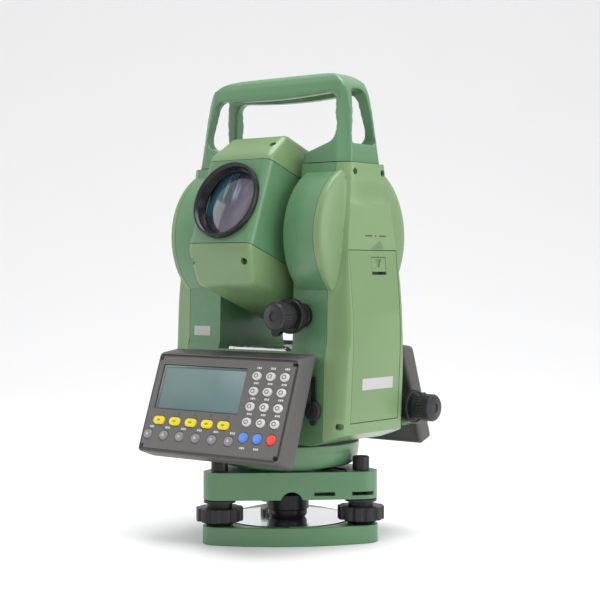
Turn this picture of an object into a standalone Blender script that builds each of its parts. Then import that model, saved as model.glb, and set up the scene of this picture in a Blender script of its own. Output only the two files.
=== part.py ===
"""Surveying total station on its three-screw base, in metres, +Z up. The objective looks towards -Y."""

import math

import bmesh
import bpy
from mathutils import Matrix, Vector

# The whole object, with the ground under the base plate at z = 0.
AXIS_X = -0.008  # the turning axis stands this far to the left, so that the object's box is centred on the origin
GAP = 0.0003  # clearance between touching pieces

# Three-screw base (tribrach).
SCREW_CIRCLE = 0.060
FIRST_SCREW = math.radians(13.3)
LOBE_RADIUS = 0.0125
BASE_HEIGHT = 0.0134
BASE_SIDE = 0.052
SPRING_RADIUS = 0.0477
MOUNT_HOLE = 0.008
KNOB_RADIUS = 0.0173
KNOB_BOTTOM = 0.0165
KNOB_TOP = 0.0265
HEAD_BOTTOM = 0.0324
HEAD_TOP = 0.0525
HEAD_SIDE = 0.0435
CAP_RADIUS = 0.0062
CAP_TOP = 0.0628
BUBBLE_RADIUS = 0.0088

# Lower housing and the turning axis.
HOUSING_BOTTOM = 0.0550
HOUSING_TOP = 0.0735
HOUSING_RADIUS = 0.0538
SPINDLE_RADIUS = 0.0150
CIRCLE_RADIUS = 0.0420

# Alidade: two standards joined by a floor.
FRAME_BOTTOM = 0.0748
FRAME_TOP = 0.2762
FLOOR_TOP = 0.1410
INNER_X = 0.0350
SEAM_X = 0.0657
TOP_DEPTH = 0.0260
WAIST_Z = 0.1880
FRAME_DEPTHS = ((FRAME_BOTTOM, 0.0424), (0.1390, 0.0402), (0.1460, 0.0372), (WAIST_Z, 0.0362), (FRAME_TOP, TOP_DEPTH))
BELLY_START_X = 0.0560  # from here outwards the underside slopes up
BELLY_SLOPE = 0.335
TRUNNION_Z = 0.2239
DRUM_RADIUS = 0.0530
DRUM_INNER_X = 0.0380
AXLE_RADIUS = 0.0070
LEVEL_PLACE = (0, -0.0325, FLOOR_TOP - 0.0010)
PANEL_XS = (
    (FRAME_BOTTOM, 0.0798),
    (0.0920, 0.0806),
    (0.1080, 0.0815),
    (0.1400, 0.0832),
    (0.1600, 0.0833),
    (0.1850, 0.0819),
    (0.2135, 0.0789),
    (FRAME_TOP, 0.0752),
)
PANEL_DEPTHS = (
    (FRAME_BOTTOM, 0.0338),
    (0.1390, 0.0336),
    (0.1460, 0.0325),
    (WAIST_Z, 0.0322),
    (0.2135, 0.0308),
    (0.2360, 0.0270),
    (FRAME_TOP, 0.0180),
)

# Battery pack in the right side cover.
BATTERY_BOTTOM = 0.0910
BATTERY_TOP = 0.2135
BATTERY_FRONT = -0.0287
BATTERY_BACK = 0.0287
BATTERY_INNER_X = 0.0600
LATCH_Y = 0.0062
LATCH_HALF_WIDTH = 0.0085

# Carry handle.
HANDLE_TOP = 0.3440
GRIP_UNDERSIDE = 0.3280
HANDLE_BASE_TOP = 0.2910

# Display and keypad unit, one on each face.
DISPLAY_Y = 0.0780
DISPLAY_Z = 0.1025
REAR_DISPLAY_Z = 0.1065
DISPLAY_SHIFT = 0.0025
DISPLAY_LEAN = math.radians(19.5)
DISPLAY_HALF_WIDTH = 0.0675
DISPLAY_HALF_HEIGHT = 0.0375
FRONT_CASE = (0.0190, 0.0175, 0.0465)  # depth at the foot, depth at the top edge, height of the top back edge
REAR_CASE = (0.0150, 0.0140, 0.0447)
WINDOW_SIZE = (0.0816, 0.0340)
WINDOW_PLACE = (-0.0190, 0.0119)
KEY_HEIGHT = 0.0012
KEY_DEPTH = 0.0013
KEY_POCKET = 0.0030
ROUND_KEY = 0.0042
OVAL_KEY = (0.0055, 0.0031)

# Telescope, along its own axis: forward is +X of these numbers, up is +Y.
TELESCOPE_TILT = math.radians(20.2)
TELESCOPE_HALF_WIDTH = 0.0294
TELESCOPE_FRONT = 0.0724
TELESCOPE_BACK = -0.0500
TELESCOPE_SPLIT = 0.0320
TELESCOPE_ROOF = 0.0584
OBJECTIVE_RING = 0.02885
OBJECTIVE_BORE = 0.0258
LENS_RADIUS = 0.0235

# Drive knobs.
VERTICAL_DRIVE = (0.0445, 0.1670)  # x and z of an axis along -Y
HORIZONTAL_DRIVE = (0.0505, 0.0976)  # y and z of an axis along +X
CLAMP_RADIUS = 0.0128
TANGENT_RADIUS = 0.0102

FINE_STEPS = 32
ROUND_STEPS = 24
SMALL_STEPS = 16

for old in list(bpy.data.objects):
    bpy.data.objects.remove(old, do_unlink=True)

parts = bpy.data.collections.new("total_station")
cutters = bpy.data.collections.new("cutters")
for collection in (parts, cutters):
    bpy.context.scene.collection.children.link(collection)
cutters.hide_render = True


def paint(name, colour, roughness, metallic=0.0):
    material = bpy.data.materials.new(name)
    material.use_nodes = True
    shader = material.node_tree.nodes["Principled BSDF"]
    shader.inputs["Base Color"].default_value = (*colour, 1.0)
    shader.inputs["Roughness"].default_value = roughness
    shader.inputs["Metallic"].default_value = metallic
    material.diffuse_color = (*colour, 1.0)
    return material


SAGE = paint("sage_green_paint", (0.22, 0.38, 0.23), 0.45)
LEAF = paint("leaf_green_plastic", (0.30, 0.43, 0.22), 0.5)
GREY_BROWN = paint("grey_brown_plastic", (0.17, 0.155, 0.145), 0.55)
BLACK = paint("black_plastic", (0.015, 0.015, 0.02), 0.45)
RUBBER = paint("black_rubber", (0.02, 0.02, 0.025), 0.7)
STEEL = paint("polished_steel", (0.75, 0.75, 0.76), 0.12, 1.0)
GLASS = paint("coated_glass", (0.05, 0.10, 0.16), 0.05)
SCREEN = paint("liquid_crystal", (0.22, 0.30, 0.27), 0.15)
KEY_PAINTS = {
    "white": paint("white_key", (0.75, 0.75, 0.74), 0.45),
    "yellow": paint("yellow_key", (0.85, 0.72, 0.04), 0.45),
    "grey": paint("grey_key", (0.30, 0.29, 0.31), 0.45),
    "blue": paint("blue_key", (0.08, 0.26, 0.75), 0.45),
    "red": paint("red_key", (0.80, 0.06, 0.05), 0.45),
}


def empty(name, location, rotation=(0, 0, 0), parent=None):
    holder = bpy.data.objects.new(name, None)
    holder.location = location
    holder.rotation_euler = rotation
    holder.parent = parent
    parts.objects.link(holder)
    return holder


STAND = empty("stand", (AXIS_X, 0, 0))
TURN = empty("alidade_turn", (0, 0, 0), parent=STAND)
TILT = empty("telescope_tilt", (0, 0, TRUNNION_Z), (-TELESCOPE_TILT, 0, 0), TURN)
FRONT_PANEL = empty(
    "front_panel", (-DISPLAY_SHIFT, -DISPLAY_Y, DISPLAY_Z), (math.pi / 2 - DISPLAY_LEAN, 0, 0), TURN
)
REAR_PANEL = empty(
    "rear_panel", (DISPLAY_SHIFT, DISPLAY_Y, REAR_DISPLAY_Z), (math.pi / 2 - DISPLAY_LEAN, 0, math.pi), TURN
)

ALONG_X = (0, math.pi / 2, 0)
ALONG_MINUS_Y = (math.pi / 2, 0, 0)


def place(name, mesh, material, parent, location=(0, 0, 0), rotation=(0, 0, 0), collection=parts):
    """An object with this mesh and material, shaded smooth over its gentle edges."""
    mesh.materials.append(material)
    mesh.shade_smooth()
    mesh.set_sharp_from_angle(angle=math.radians(35))
    made = bpy.data.objects.new(name, mesh)
    made.location = location
    made.rotation_euler = rotation
    made.parent = parent
    collection.objects.link(made)
    return made


def block(size, centre):
    """A box mesh of this size about this centre."""
    shape = bmesh.new()
    bmesh.ops.create_cube(shape, size=1, matrix=Matrix.Translation(centre) @ Matrix.Diagonal((*size, 1)))
    mesh = bpy.data.meshes.new("block")
    shape.to_mesh(mesh)
    shape.free()
    return mesh


def between(low, high):
    """A box mesh from one corner to the opposite one."""
    low, high = Vector(low), Vector(high)
    return block(high - low, (low + high) / 2)


def cylinders(places, length, steps=SMALL_STEPS):
    """One mesh of upright cylinders, one for each (x, y, z of its middle, radius)."""
    shape = bmesh.new()
    for x, y, z, radius in places:
        bmesh.ops.create_cone(
            shape,
            cap_ends=True,
            segments=steps,
            radius1=radius,
            radius2=radius,
            depth=length,
            matrix=Matrix.Translation((x, y, z)),
        )
    mesh = bpy.data.meshes.new("cylinders")
    shape.to_mesh(mesh)
    shape.free()
    return mesh


def loft(sections):
    """A closed mesh through rings of points that all have the same number of points."""
    shape = bmesh.new()
    rings = [[shape.verts.new(point) for point in section] for section in sections]
    for low, high in zip(rings, rings[1:]):
        for i, corner in enumerate(low):
            after = (i + 1) % len(low)
            shape.faces.new((corner, low[after], high[after], high[i]))
    shape.faces.new(rings[0][::-1])
    shape.faces.new(rings[-1])
    bmesh.ops.recalc_face_normals(shape, faces=shape.faces)
    mesh = bpy.data.meshes.new("loft")
    shape.to_mesh(mesh)
    shape.free()
    return mesh


def arc(centre, radius, start, end, steps):
    """Points on an arc, from one angle to another in degrees."""
    angles = [math.radians(start + (end - start) * i / steps) for i in range(steps + 1)]
    return [(centre[0] + radius * math.cos(a), centre[1] + radius * math.sin(a)) for a in angles]


def extruded(outline, thickness):
    """A flat outline in X and Y, given this thickness about z = 0, as a closed mesh."""
    curve = bpy.data.curves.new("outline", "CURVE")
    curve.dimensions = "2D"
    curve.fill_mode = "BOTH"
    curve.extrude = thickness / 2
    spline = curve.splines.new("POLY")
    spline.points.add(len(outline) - 1)
    for point, (x, y) in zip(spline.points, outline):
        point.co = (x, y, 0, 1)
    spline.use_cyclic_u = True
    holder = bpy.data.objects.new("outline", curve)
    cutters.objects.link(holder)
    graph = bpy.context.evaluated_depsgraph_get()
    mesh = bpy.data.meshes.new_from_object(holder.evaluated_get(graph))
    bpy.data.objects.remove(holder, do_unlink=True)
    shape = bmesh.new()
    shape.from_mesh(mesh)
    bmesh.ops.remove_doubles(shape, verts=shape.verts, dist=0.00001)
    bmesh.ops.recalc_face_normals(shape, faces=shape.faces)
    shape.to_mesh(mesh)
    shape.free()
    return mesh


def turn_piece(name, profile, material, parent, location=(0, 0, 0), rotation=(0, 0, 0), steps=ROUND_STEPS):
    """A shape turned about Z from (radius, height) points, from the top of its outer side down.

    A profile that starts and ends on the axis stays open there, and a ring's is closed.
    """
    mesh = bpy.data.meshes.new("profile")
    last = len(profile) - 1
    edges = [(i, i + 1) for i in range(last)]
    if profile[0][0] > 0:
        edges.append((last, 0))
    mesh.from_pydata([(radius, 0, height) for radius, height in profile], edges, [])
    made = place(name, mesh, material, parent, location, rotation)
    screw = made.modifiers.new("turn", "SCREW")
    screw.steps = steps
    screw.render_steps = steps
    screw.use_merge_vertices = True
    screw.merge_threshold = 0.00005
    screw.use_smooth_shade = True
    return made


def helper(made):
    """Marks an object as a cutter or a joined shape, so that it isn't a piece itself."""
    made.hide_render = True
    made.display_type = "WIRE"
    if made.name in parts.objects:
        parts.objects.unlink(made)
        cutters.objects.link(made)
    return made


def combine(made, other, operation):
    """Cuts with, joins or keeps what is common with another object."""
    modifier = made.modifiers.new(operation.lower(), "BOOLEAN")
    modifier.operation = operation
    modifier.object = helper(other)


def cut(made, mesh, location=(0, 0, 0), rotation=(0, 0, 0)):
    """Cuts a mesh that stands in the object's own parent frame."""
    combine(made, place(made.name + "_cutter", mesh, BLACK, made.parent, location, rotation, cutters), "DIFFERENCE")


def join(made, mesh, location=(0, 0, 0), rotation=(0, 0, 0)):
    """Joins a mesh that stands in the object's own parent frame."""
    combine(made, place(made.name + "_added", mesh, BLACK, made.parent, location, rotation, cutters), "UNION")


def soften(made, width, segments=2, angle=40):
    """Rounds the object's sharp edges."""
    bevel = made.modifiers.new("soft_edges", "BEVEL")
    bevel.width = width
    bevel.segments = segments
    bevel.limit_method = "ANGLE"
    bevel.angle_limit = math.radians(angle)
    bevel.harden_normals = False


def screw_places():
    return [
        (SCREW_CIRCLE * math.cos(FIRST_SCREW + turn), SCREW_CIRCLE * math.sin(FIRST_SCREW + turn))
        for turn in (0, math.tau / 3, 2 * math.tau / 3)
    ]


def bulged_triangle(lobe, side, lobe_steps, side_steps):
    """A triangle with round corners about the screws, whose sides bulge out to this distance from the axis."""
    across = SCREW_CIRCLE * math.cos(math.pi / 3) - side
    along = SCREW_CIRCLE * math.sin(math.pi / 3)
    big = (across**2 + along**2 - lobe**2) / (-2 * (across + lobe))
    half = math.degrees(math.asin(along / (big - lobe)))
    outline = []
    for i in range(3):
        corner = math.degrees(FIRST_SCREW) + 120 * i
        centre = screw_places()[i]
        outline += arc(centre, lobe, corner - 60 + half, corner + 60 - half, lobe_steps)
        middle = math.radians(corner + 60)
        back = (-(big - side) * math.cos(middle), -(big - side) * math.sin(middle))
        outline += arc(back, big, corner + 60 - half, corner + 60 + half, side_steps)[1:-1]
    return outline


def base_plate():
    plate = place(
        "base_plate",
        extruded(bulged_triangle(LOBE_RADIUS, BASE_SIDE, 6, 8), BASE_HEIGHT),
        SAGE,
        STAND,
        (0, 0, BASE_HEIGHT / 2),
    )
    soften(plate, 0.0012, 1)
    recess = cylinders([(0, 0, BASE_HEIGHT, SPRING_RADIUS + GAP)], 0.0034, FINE_STEPS)
    cut(plate, recess)
    cut(plate, cylinders([(0, 0, BASE_HEIGHT / 2, MOUNT_HOLE)], BASE_HEIGHT * 2))


def spring_plate():
    """The polished plate in the base, with the hub that carries the body."""
    top = BASE_HEIGHT + 0.0004
    bottom = BASE_HEIGHT - 0.0017 + GAP
    hub_top = HEAD_BOTTOM - GAP
    hub = 0.0160
    profile = [
        (hub, hub_top),
        (hub, top),
        (SPRING_RADIUS, top),
        (SPRING_RADIUS, bottom),
        (MOUNT_HOLE, bottom),
        (MOUNT_HOLE, hub_top),
    ]
    turn_piece("spring_plate", profile, STEEL, STAND, steps=FINE_STEPS)


def foot_screws():
    """Each screw is a lobed knob on its threaded spindle, with the adjusting cap on top of the body."""
    lobes = 10
    wave = 0.0009
    points = lobes * 4
    outline = []
    for i in range(points):
        angle = math.tau * i / points
        radius = KNOB_RADIUS - wave + wave * math.cos(lobes * angle)
        outline.append((radius * math.cos(angle), radius * math.sin(angle)))
    for number, (x, y) in enumerate(screw_places(), 1):
        knob = place(
            f"foot_screw_{number}",
            extruded(outline, KNOB_TOP - KNOB_BOTTOM),
            BLACK,
            STAND,
            (x, y, (KNOB_TOP + KNOB_BOTTOM) / 2),
        )
        spindle = 0.0040
        profile = [
            (0, CAP_TOP),
            (CAP_RADIUS - 0.001, CAP_TOP),
            (CAP_RADIUS, CAP_TOP - 0.001),
            (CAP_RADIUS, HEAD_TOP + GAP),
            (spindle, HEAD_TOP + GAP),
            (spindle, HEAD_BOTTOM - GAP),
            (0.0115, HEAD_BOTTOM - GAP),
            (0.0115, HEAD_BOTTOM - 0.003),
            (0.0150, KNOB_TOP - 0.001),
            (0.0150, KNOB_BOTTOM + 0.001),
            (0.0105, BASE_HEIGHT + GAP),
            (0, BASE_HEIGHT + GAP),
        ]
        inside = turn_piece(f"foot_screw_{number}_core", profile, BLACK, STAND, (x, y, 0), steps=SMALL_STEPS)
        combine(knob, inside, "UNION")


def tribrach_body():
    body = place(
        "tribrach_body",
        extruded(bulged_triangle(LOBE_RADIUS - 0.0005, HEAD_SIDE, 6, 6), HEAD_TOP - HEAD_BOTTOM),
        SAGE,
        STAND,
        (0, 0, (HEAD_TOP + HEAD_BOTTOM) / 2),
    )
    soften(body, 0.0014, 2)
    middle = (HEAD_TOP + HEAD_BOTTOM) / 2
    holes = [(x, y, middle, 0.0040 + GAP) for x, y in screw_places()]
    holes.append((0, 0, middle, SPINDLE_RADIUS + GAP))
    cut(body, cylinders(holes, 0.040))
    across = FIRST_SCREW - math.pi / 3
    reach = 0.5 * (HEAD_SIDE + SPINDLE_RADIUS)
    notch = cylinders([(0, 0, 0, 0.0083)], 0.050)
    at = (reach * math.cos(across), reach * math.sin(across), HEAD_BOTTOM - 0.0024)
    cut(body, notch, at, (0, math.pi / 2, across))
    x, y = bubble_place()
    cut(body, cylinders([(x, y, HEAD_TOP, BUBBLE_RADIUS - 0.0012 + GAP)], 0.012, ROUND_STEPS))


def bubble_place():
    angle = math.radians(-3)
    return 0.048 * math.cos(angle), 0.048 * math.sin(angle)


def circular_bubble():
    """A brass cup with a domed glass, let into the body's top."""
    x, y = bubble_place()
    inner = BUBBLE_RADIUS - 0.0012
    profile = [
        (0, HEAD_TOP + 0.0008),
        (inner * 0.6, HEAD_TOP + 0.0007),
        (inner * 0.8, HEAD_TOP + GAP),
        (inner * 0.9, HEAD_TOP + 0.0012),
        (BUBBLE_RADIUS, HEAD_TOP + 0.0012),
        (BUBBLE_RADIUS, HEAD_TOP + GAP),
        (inner, HEAD_TOP + GAP),
        (inner, HEAD_TOP - 0.0055),
        (0, HEAD_TOP - 0.0055),
    ]
    turn_piece("circular_bubble", profile, BLACK, STAND, (x, y, 0))


def azimuth_base():
    """The round lower housing. Its top is a dish that holds the horizontal circle."""
    bore = SPINDLE_RADIUS + GAP
    dish = 0.0465
    profile = [
        (HOUSING_RADIUS, HOUSING_TOP),
        (HOUSING_RADIUS, HOUSING_TOP - 0.006),
        (0.0526, HOUSING_BOTTOM + 0.007),
        (0.0500, HOUSING_BOTTOM + 0.003),
        (0.0460, HOUSING_BOTTOM),
        (0.0380, HOUSING_BOTTOM),
        (0.0380, HEAD_TOP + GAP),
        (bore, HEAD_TOP + GAP),
        (bore, HOUSING_TOP - 0.008),
        (dish, HOUSING_TOP - 0.008),
        (dish, HOUSING_TOP),
    ]
    turn_piece("azimuth_base", profile, SAGE, STAND, steps=FINE_STEPS)


def horizontal_circle():
    """The glass angle circle on its hub, inside the lower housing."""
    bottom = HOUSING_TOP - 0.008 + GAP
    hub = SPINDLE_RADIUS + 0.004
    profile = [
        (CIRCLE_RADIUS, bottom + 0.0045),
        (CIRCLE_RADIUS, bottom + 0.0025),
        (hub, bottom + 0.0025),
        (hub, bottom),
        (SPINDLE_RADIUS + GAP, bottom),
        (SPINDLE_RADIUS + GAP, bottom + 0.0045),
    ]
    turn_piece("horizontal_circle", profile, GLASS, STAND, steps=FINE_STEPS)


def vertical_spindle():
    top = 0.108
    profile = [
        (0, top),
        (SPINDLE_RADIUS, top),
        (SPINDLE_RADIUS, HEAD_BOTTOM + 0.0040),
        (0.0110, HEAD_BOTTOM + GAP),
        (0, HEAD_BOTTOM + GAP),
    ]
    turn_piece("vertical_spindle", profile, STEEL, TURN)


def read(stops, z):
    """A value at a height, on straight lines between (height, value) stops."""
    if z <= stops[0][0]:
        return stops[0][1]
    for (low, before), (high, after) in zip(stops, stops[1:]):
        if z <= high:
            return before + (after - before) * (z - low) / (high - low)
    return stops[-1][1]


def depth_at(z):
    """Half the standards' depth at a height: the foot is deeper, and above the waist they taper."""
    return read(FRAME_DEPTHS, z)


def panel_x_at(z):
    """How far out the side panel stands at a height. It swells at mid-height."""
    return read(PANEL_XS, z)


def belly_cut():
    """A cutter below the sloped underside of the right half; mirrored by a negative side."""
    inner, outer = 0.050, 0.095
    ring = [(inner, 0.060), (outer, 0.060)]
    ring += [(x, FRAME_BOTTOM + BELLY_SLOPE * (x - BELLY_START_X)) for x in (outer, inner)]
    return ring


def column(low_x, high_x, levels):
    """A standard's tapered column between two x."""
    sections = []
    for z in levels:
        y = depth_at(z)
        sections.append([(low_x, -y, z), (high_x, -y, z), (high_x, y, z), (low_x, y, z)])
    return loft(sections)


def alidade_frame():
    """The U-shaped casting: a floor, two columns and the two drums about the telescope's axle."""
    body = place("alidade_frame", column(-SEAM_X, SEAM_X, (FRAME_BOTTOM, 0.1390, FLOOR_TOP)), SAGE, TURN)
    drum_width = SEAM_X - DRUM_INNER_X
    for side in (-1, 1):
        ends = sorted((side * INNER_X, side * SEAM_X))
        join(body, column(*ends, (FLOOR_TOP - 0.01, 0.1390, 0.1460, WAIST_Z, FRAME_TOP)))
    for side in (-1, 1):
        drum = cylinders([(0, 0, 0, DRUM_RADIUS)], drum_width, FINE_STEPS)
        join(body, drum, (side * (SEAM_X + DRUM_INNER_X) / 2, 0, TRUNNION_Z), ALONG_X)
    top_trim = between((-0.09, -0.06, FRAME_TOP), (0.09, 0.06, FRAME_TOP + 0.03))
    cut(body, top_trim)
    flange = cylinders([(0, 0, FRAME_BOTTOM + 0.0022, HOUSING_RADIUS + 0.001)], 0.0044, FINE_STEPS)
    join(body, flange)
    for side in (-1, 1):
        ring = [(side * x, z) for x, z in belly_cut()]
        cut(body, loft([[(x, y, z) for x, z in ring] for y in (-0.07, 0.07)]))
    join(body, between((0.032, 0.030, 0.0800), (SEAM_X, 0.0540, 0.1110)))
    join(body, between((0.060, depth_at(FRAME_BOTTOM) + 0.001, 0.0838), (0.0745, 0.0522, 0.0885)))
    cut(body, cylinders([(0, 0, 0.090, SPINDLE_RADIUS + GAP)], 0.037))
    cut(body, cylinders([(0, 0, 0, AXLE_RADIUS + GAP)], 0.20), (0, 0, TRUNNION_Z), ALONG_X)
    circle_room = cylinders([(0, 0, 0, CIRCLE_RADIUS + 0.001)], 0.020, FINE_STEPS)
    cut(body, circle_room, (-SEAM_X, 0, TRUNNION_Z), ALONG_X)
    battery_room = between(
        (BATTERY_INNER_X - GAP, BATTERY_FRONT - GAP, BATTERY_BOTTOM - GAP),
        (0.09, BATTERY_BACK + GAP, BATTERY_TOP + GAP),
    )
    cut(body, battery_room)
    trough = cylinders([(0, 0, 0, 0.0050)], 0.058)
    cut(body, trough, LEVEL_PLACE, ALONG_X)


def side_cover(name, side):
    """A side cover: a panel with sloped corners, and a dome that carries on the drum's roundness."""
    inner = SEAM_X + GAP
    sections = []
    for z in (FRAME_BOTTOM + 0.0005, 0.1080, 0.1390, 0.1460, 0.1600, WAIST_Z, 0.2135, 0.2360, FRAME_TOP):
        flat = read(PANEL_DEPTHS, z)
        y = depth_at(z)
        x = panel_x_at(z)
        ring = [(inner, -y), (x - 0.0025, -flat - 0.0015), (x, -flat + 0.002)]
        ring += [(px, -py) for px, py in reversed(ring)]
        sections.append([(side * px, py, z) for px, py in ring])
    body = place(name, loft(sections), LEAF, TURN)
    reach = 0.0088
    profile = [(0, reach), (DRUM_RADIUS * 0.52, reach)]
    for share in (0.93, 0.75, 0.5, 0.25):
        angle = share * math.pi / 2
        swell = DRUM_RADIUS * (0.52 + 0.48 * math.cos(angle))
        profile.append((swell, 0.003 + (reach - 0.003) * math.sin(angle)))
    profile += [(DRUM_RADIUS, 0.003), (DRUM_RADIUS, 0), (0, 0)]
    dome = turn_piece(
        name + "_dome",
        profile,
        LEAF,
        TURN,
        (side * inner, 0, TRUNNION_Z),
        (0, side * math.pi / 2, 0),
        steps=FINE_STEPS,
    )
    combine(body, dome, "UNION")
    cut(body, between((-0.1, -0.06, FRAME_TOP), (0.1, 0.06, FRAME_TOP + 0.03)))
    slope = loft([[(side * x, y, z) for x, z in belly_cut()] for y in (-0.07, 0.07)])
    cut(body, slope)
    return body


def side_covers():
    side_cover("side_cover_left", -1)
    right = side_cover("side_cover_right", 1)
    opening = between(
        (0.050, BATTERY_FRONT - GAP, BATTERY_BOTTOM - GAP),
        (0.100, BATTERY_BACK + GAP, BATTERY_TOP + GAP),
    )
    cut(right, opening)


def battery_pack():
    """The battery, whose outer face is the door panel. Its finger latch sits in a pocket near the top."""
    sections = []
    for z in (BATTERY_BOTTOM, 0.1080, 0.1250, 0.1400, 0.1600, 0.1850, BATTERY_TOP):
        outer, front, back = panel_x_at(z), BATTERY_FRONT, BATTERY_BACK
        sections.append([(BATTERY_INNER_X, front, z), (outer, front, z), (outer, back, z), (BATTERY_INNER_X, back, z)])
    pack = place("battery_pack", loft(sections), LEAF, TURN)
    soften(pack, 0.0006, 1)
    latch_low, latch_high = latch_heights()
    room = LATCH_HALF_WIDTH + GAP
    pocket = between(
        (0.0735, LATCH_Y - room, latch_low - 0.0025),
        (0.090, LATCH_Y + room, latch_high + GAP),
    )
    cut(pack, pocket)


def latch_heights():
    return BATTERY_TOP - 0.0220, BATTERY_TOP - 0.0050


def battery_latch():
    low, high = latch_heights()
    near, far = LATCH_Y - LATCH_HALF_WIDTH, LATCH_Y + LATCH_HALF_WIDTH
    sections = []
    for z in (low, high):
        outer = panel_x_at(z) - GAP
        sections.append([(0.0738, near, z), (outer, near, z), (outer, far, z), (0.0738, far, z)])
    latch = place("battery_latch", loft(sections), LEAF, TURN)
    soften(latch, 0.0006, 1)


def carry_handle():
    """Two pairs of legs that rise from the standards, lean in and meet in one grip."""
    base = ((0.0731, 0.0176), (SEAM_X, TOP_DEPTH))
    top = ((0.0665, 0.0075), (0.0560, 0.0140))
    sections = []
    for z, corners in ((FRAME_TOP + GAP, base), (HANDLE_TOP + 0.002, top)):
        (far, near), (seam, wide) = corners
        ring = [(far, -near), (far, near), (seam, wide), (-seam, wide)]
        ring += [(-far, near), (-far, -near), (-seam, -wide), (seam, -wide)]
        sections.append([(x, y, z) for x, y in ring])
    handle = place("carry_handle", loft(sections), SAGE, TURN)
    opening = [(0.0350, 0.2600), (0.0350, 0.2845), (0.0440, 0.2875)]
    opening += arc((0.0510, 0.3010), 0.0110, -55, 0, 4)
    opening += arc((0.0505, GRIP_UNDERSIDE - 0.007), 0.0070, 5, 80, 4)
    arch_steps = 6
    edge = opening[-1][0]
    rise = 0.0022
    for i in range(1, arch_steps):
        x = edge - 2 * edge * i / arch_steps
        opening.append((x, GRIP_UNDERSIDE - rise + rise * (x / edge) ** 2))
    opening += [(-x, z) for x, z in reversed(opening[: 3 + 5 + 5])]
    cut(handle, extruded(opening, 0.10), rotation=(math.pi / 2, 0, 0))
    window = [(-0.0138, HANDLE_BASE_TOP), (0.0138, HANDLE_BASE_TOP)]
    window += arc((0.0035, GRIP_UNDERSIDE - 0.0005), 0.0035, 10, 90, 3)
    window += arc((-0.0035, GRIP_UNDERSIDE - 0.0005), 0.0035, 90, 170, 3)
    cut(handle, extruded(window, 0.30), rotation=(math.pi / 2, 0, math.pi / 2))
    crown = [(-0.080, 0.270), (0.080, 0.270)]
    corner = 0.0240
    crown += arc((0.0680 - corner, HANDLE_TOP - 0.0015 - corner), corner, 0, 84, 6)
    crown += [(0.0250, HANDLE_TOP - 0.0003), (0, HANDLE_TOP)]
    crown += [(-x, z) for x, z in reversed(crown[2:-1])]
    limit = place(
        "handle_limit", extruded(crown, 0.10), SAGE, TURN, rotation=(math.pi / 2, 0, 0), collection=cutters
    )
    combine(handle, limit, "INTERSECT")
    half_round = [(0.0165, 0.3240), (0.0160, 0.3300), (0.0142, 0.3360), (0.0110, 0.3405), (0.0065, 0.3432), (0, HANDLE_TOP)]
    barrel = [(-0.0300, 0.2700), (0.0300, 0.2700), (0.0300, 0.2800), *half_round]
    barrel += [(-y, z) for y, z in reversed([(0.0300, 0.2800), *half_round[:-1]])]
    roundness = extruded(barrel, 0.20)
    roundness.transform(Matrix(((0, 0, 1, 0), (1, 0, 0, 0), (0, 1, 0, 0), (0, 0, 0, 1))))
    limit = place("grip_limit", roundness, SAGE, TURN, collection=cutters)
    combine(handle, limit, "INTERSECT")
    soften(handle, 0.0022, 2, 50)


def key_layout():
    """Each key's name, paint, place on the panel, and whether it is oval."""
    keys = []
    for row in range(4):
        for column_number in range(3):
            number = row * 3 + column_number + 1
            place_on = (0.0318 + 0.0127 * column_number, 0.0238 - 0.0112 * row)
            keys.append((f"key_white_{number:02d}", "white", place_on, False))
    for i in range(5):
        keys.append((f"key_yellow_{i + 1}", "yellow", (-0.0514 + 0.0157 * i, -0.0137), True))
    for i in range(6):
        keys.append((f"key_grey_{i + 1}", "grey", (-0.0594 + 0.0157 * i, -0.0246), False))
    for i in range(2):
        keys.append((f"key_blue_{i + 1}", "blue", (0.0318 + 0.0127 * i, -0.0210), False))
    keys.append(("key_red", "red", (0.0318 + 0.0127 * 2, -0.0210), False))
    return keys


def oval(half_length, half_height, steps=4):
    """A bar outline with round ends."""
    straight = half_length - half_height
    return arc((straight, 0), half_height, -90, 90, steps) + arc((-straight, 0), half_height, 90, 270, steps)


def display_housing(name, panel, side, sizes):
    """The leaning keypad case, a wedge whose top runs back level, with its neck, window recess and key pockets."""
    foot_depth, top_depth, top_height = sizes
    wedge = extruded(
        [
            (-DISPLAY_HALF_HEIGHT, -foot_depth),
            (top_height, -top_depth),
            (DISPLAY_HALF_HEIGHT, 0),
            (-DISPLAY_HALF_HEIGHT, 0),
        ],
        2 * DISPLAY_HALF_WIDTH,
    )
    wedge.transform(Matrix(((0, 0, 1, 0), (1, 0, 0, 0), (0, 1, 0, 0), (0, 0, 0, 1))))
    case = place(name, wedge, GREY_BROWN, panel)
    soften(case, 0.0028, 2)
    join(case, between((-0.026, -0.008, -0.060), (0.026, 0.026, -foot_depth + 0.006)))
    sections = []
    for z in (0.050, FRAME_BOTTOM, 0.1390, 0.1460, 0.1700):
        face = side * (depth_at(z) + GAP)
        ring = [(-0.09, 0, z), (0.09, 0, z), (0.09, face, z), (-0.09, face, z)]
        sections.append(ring if side > 0 else ring[::-1])
    frame_face = place(name + "_frame_face", loft(sections), BLACK, TURN, collection=cutters)
    combine(case, frame_face, "DIFFERENCE")
    width, height = WINDOW_SIZE
    x, y = WINDOW_PLACE
    cut(case, block((width + 2 * GAP, height + 2 * GAP, 0.0044), (x, y, 0)))
    return case


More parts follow.
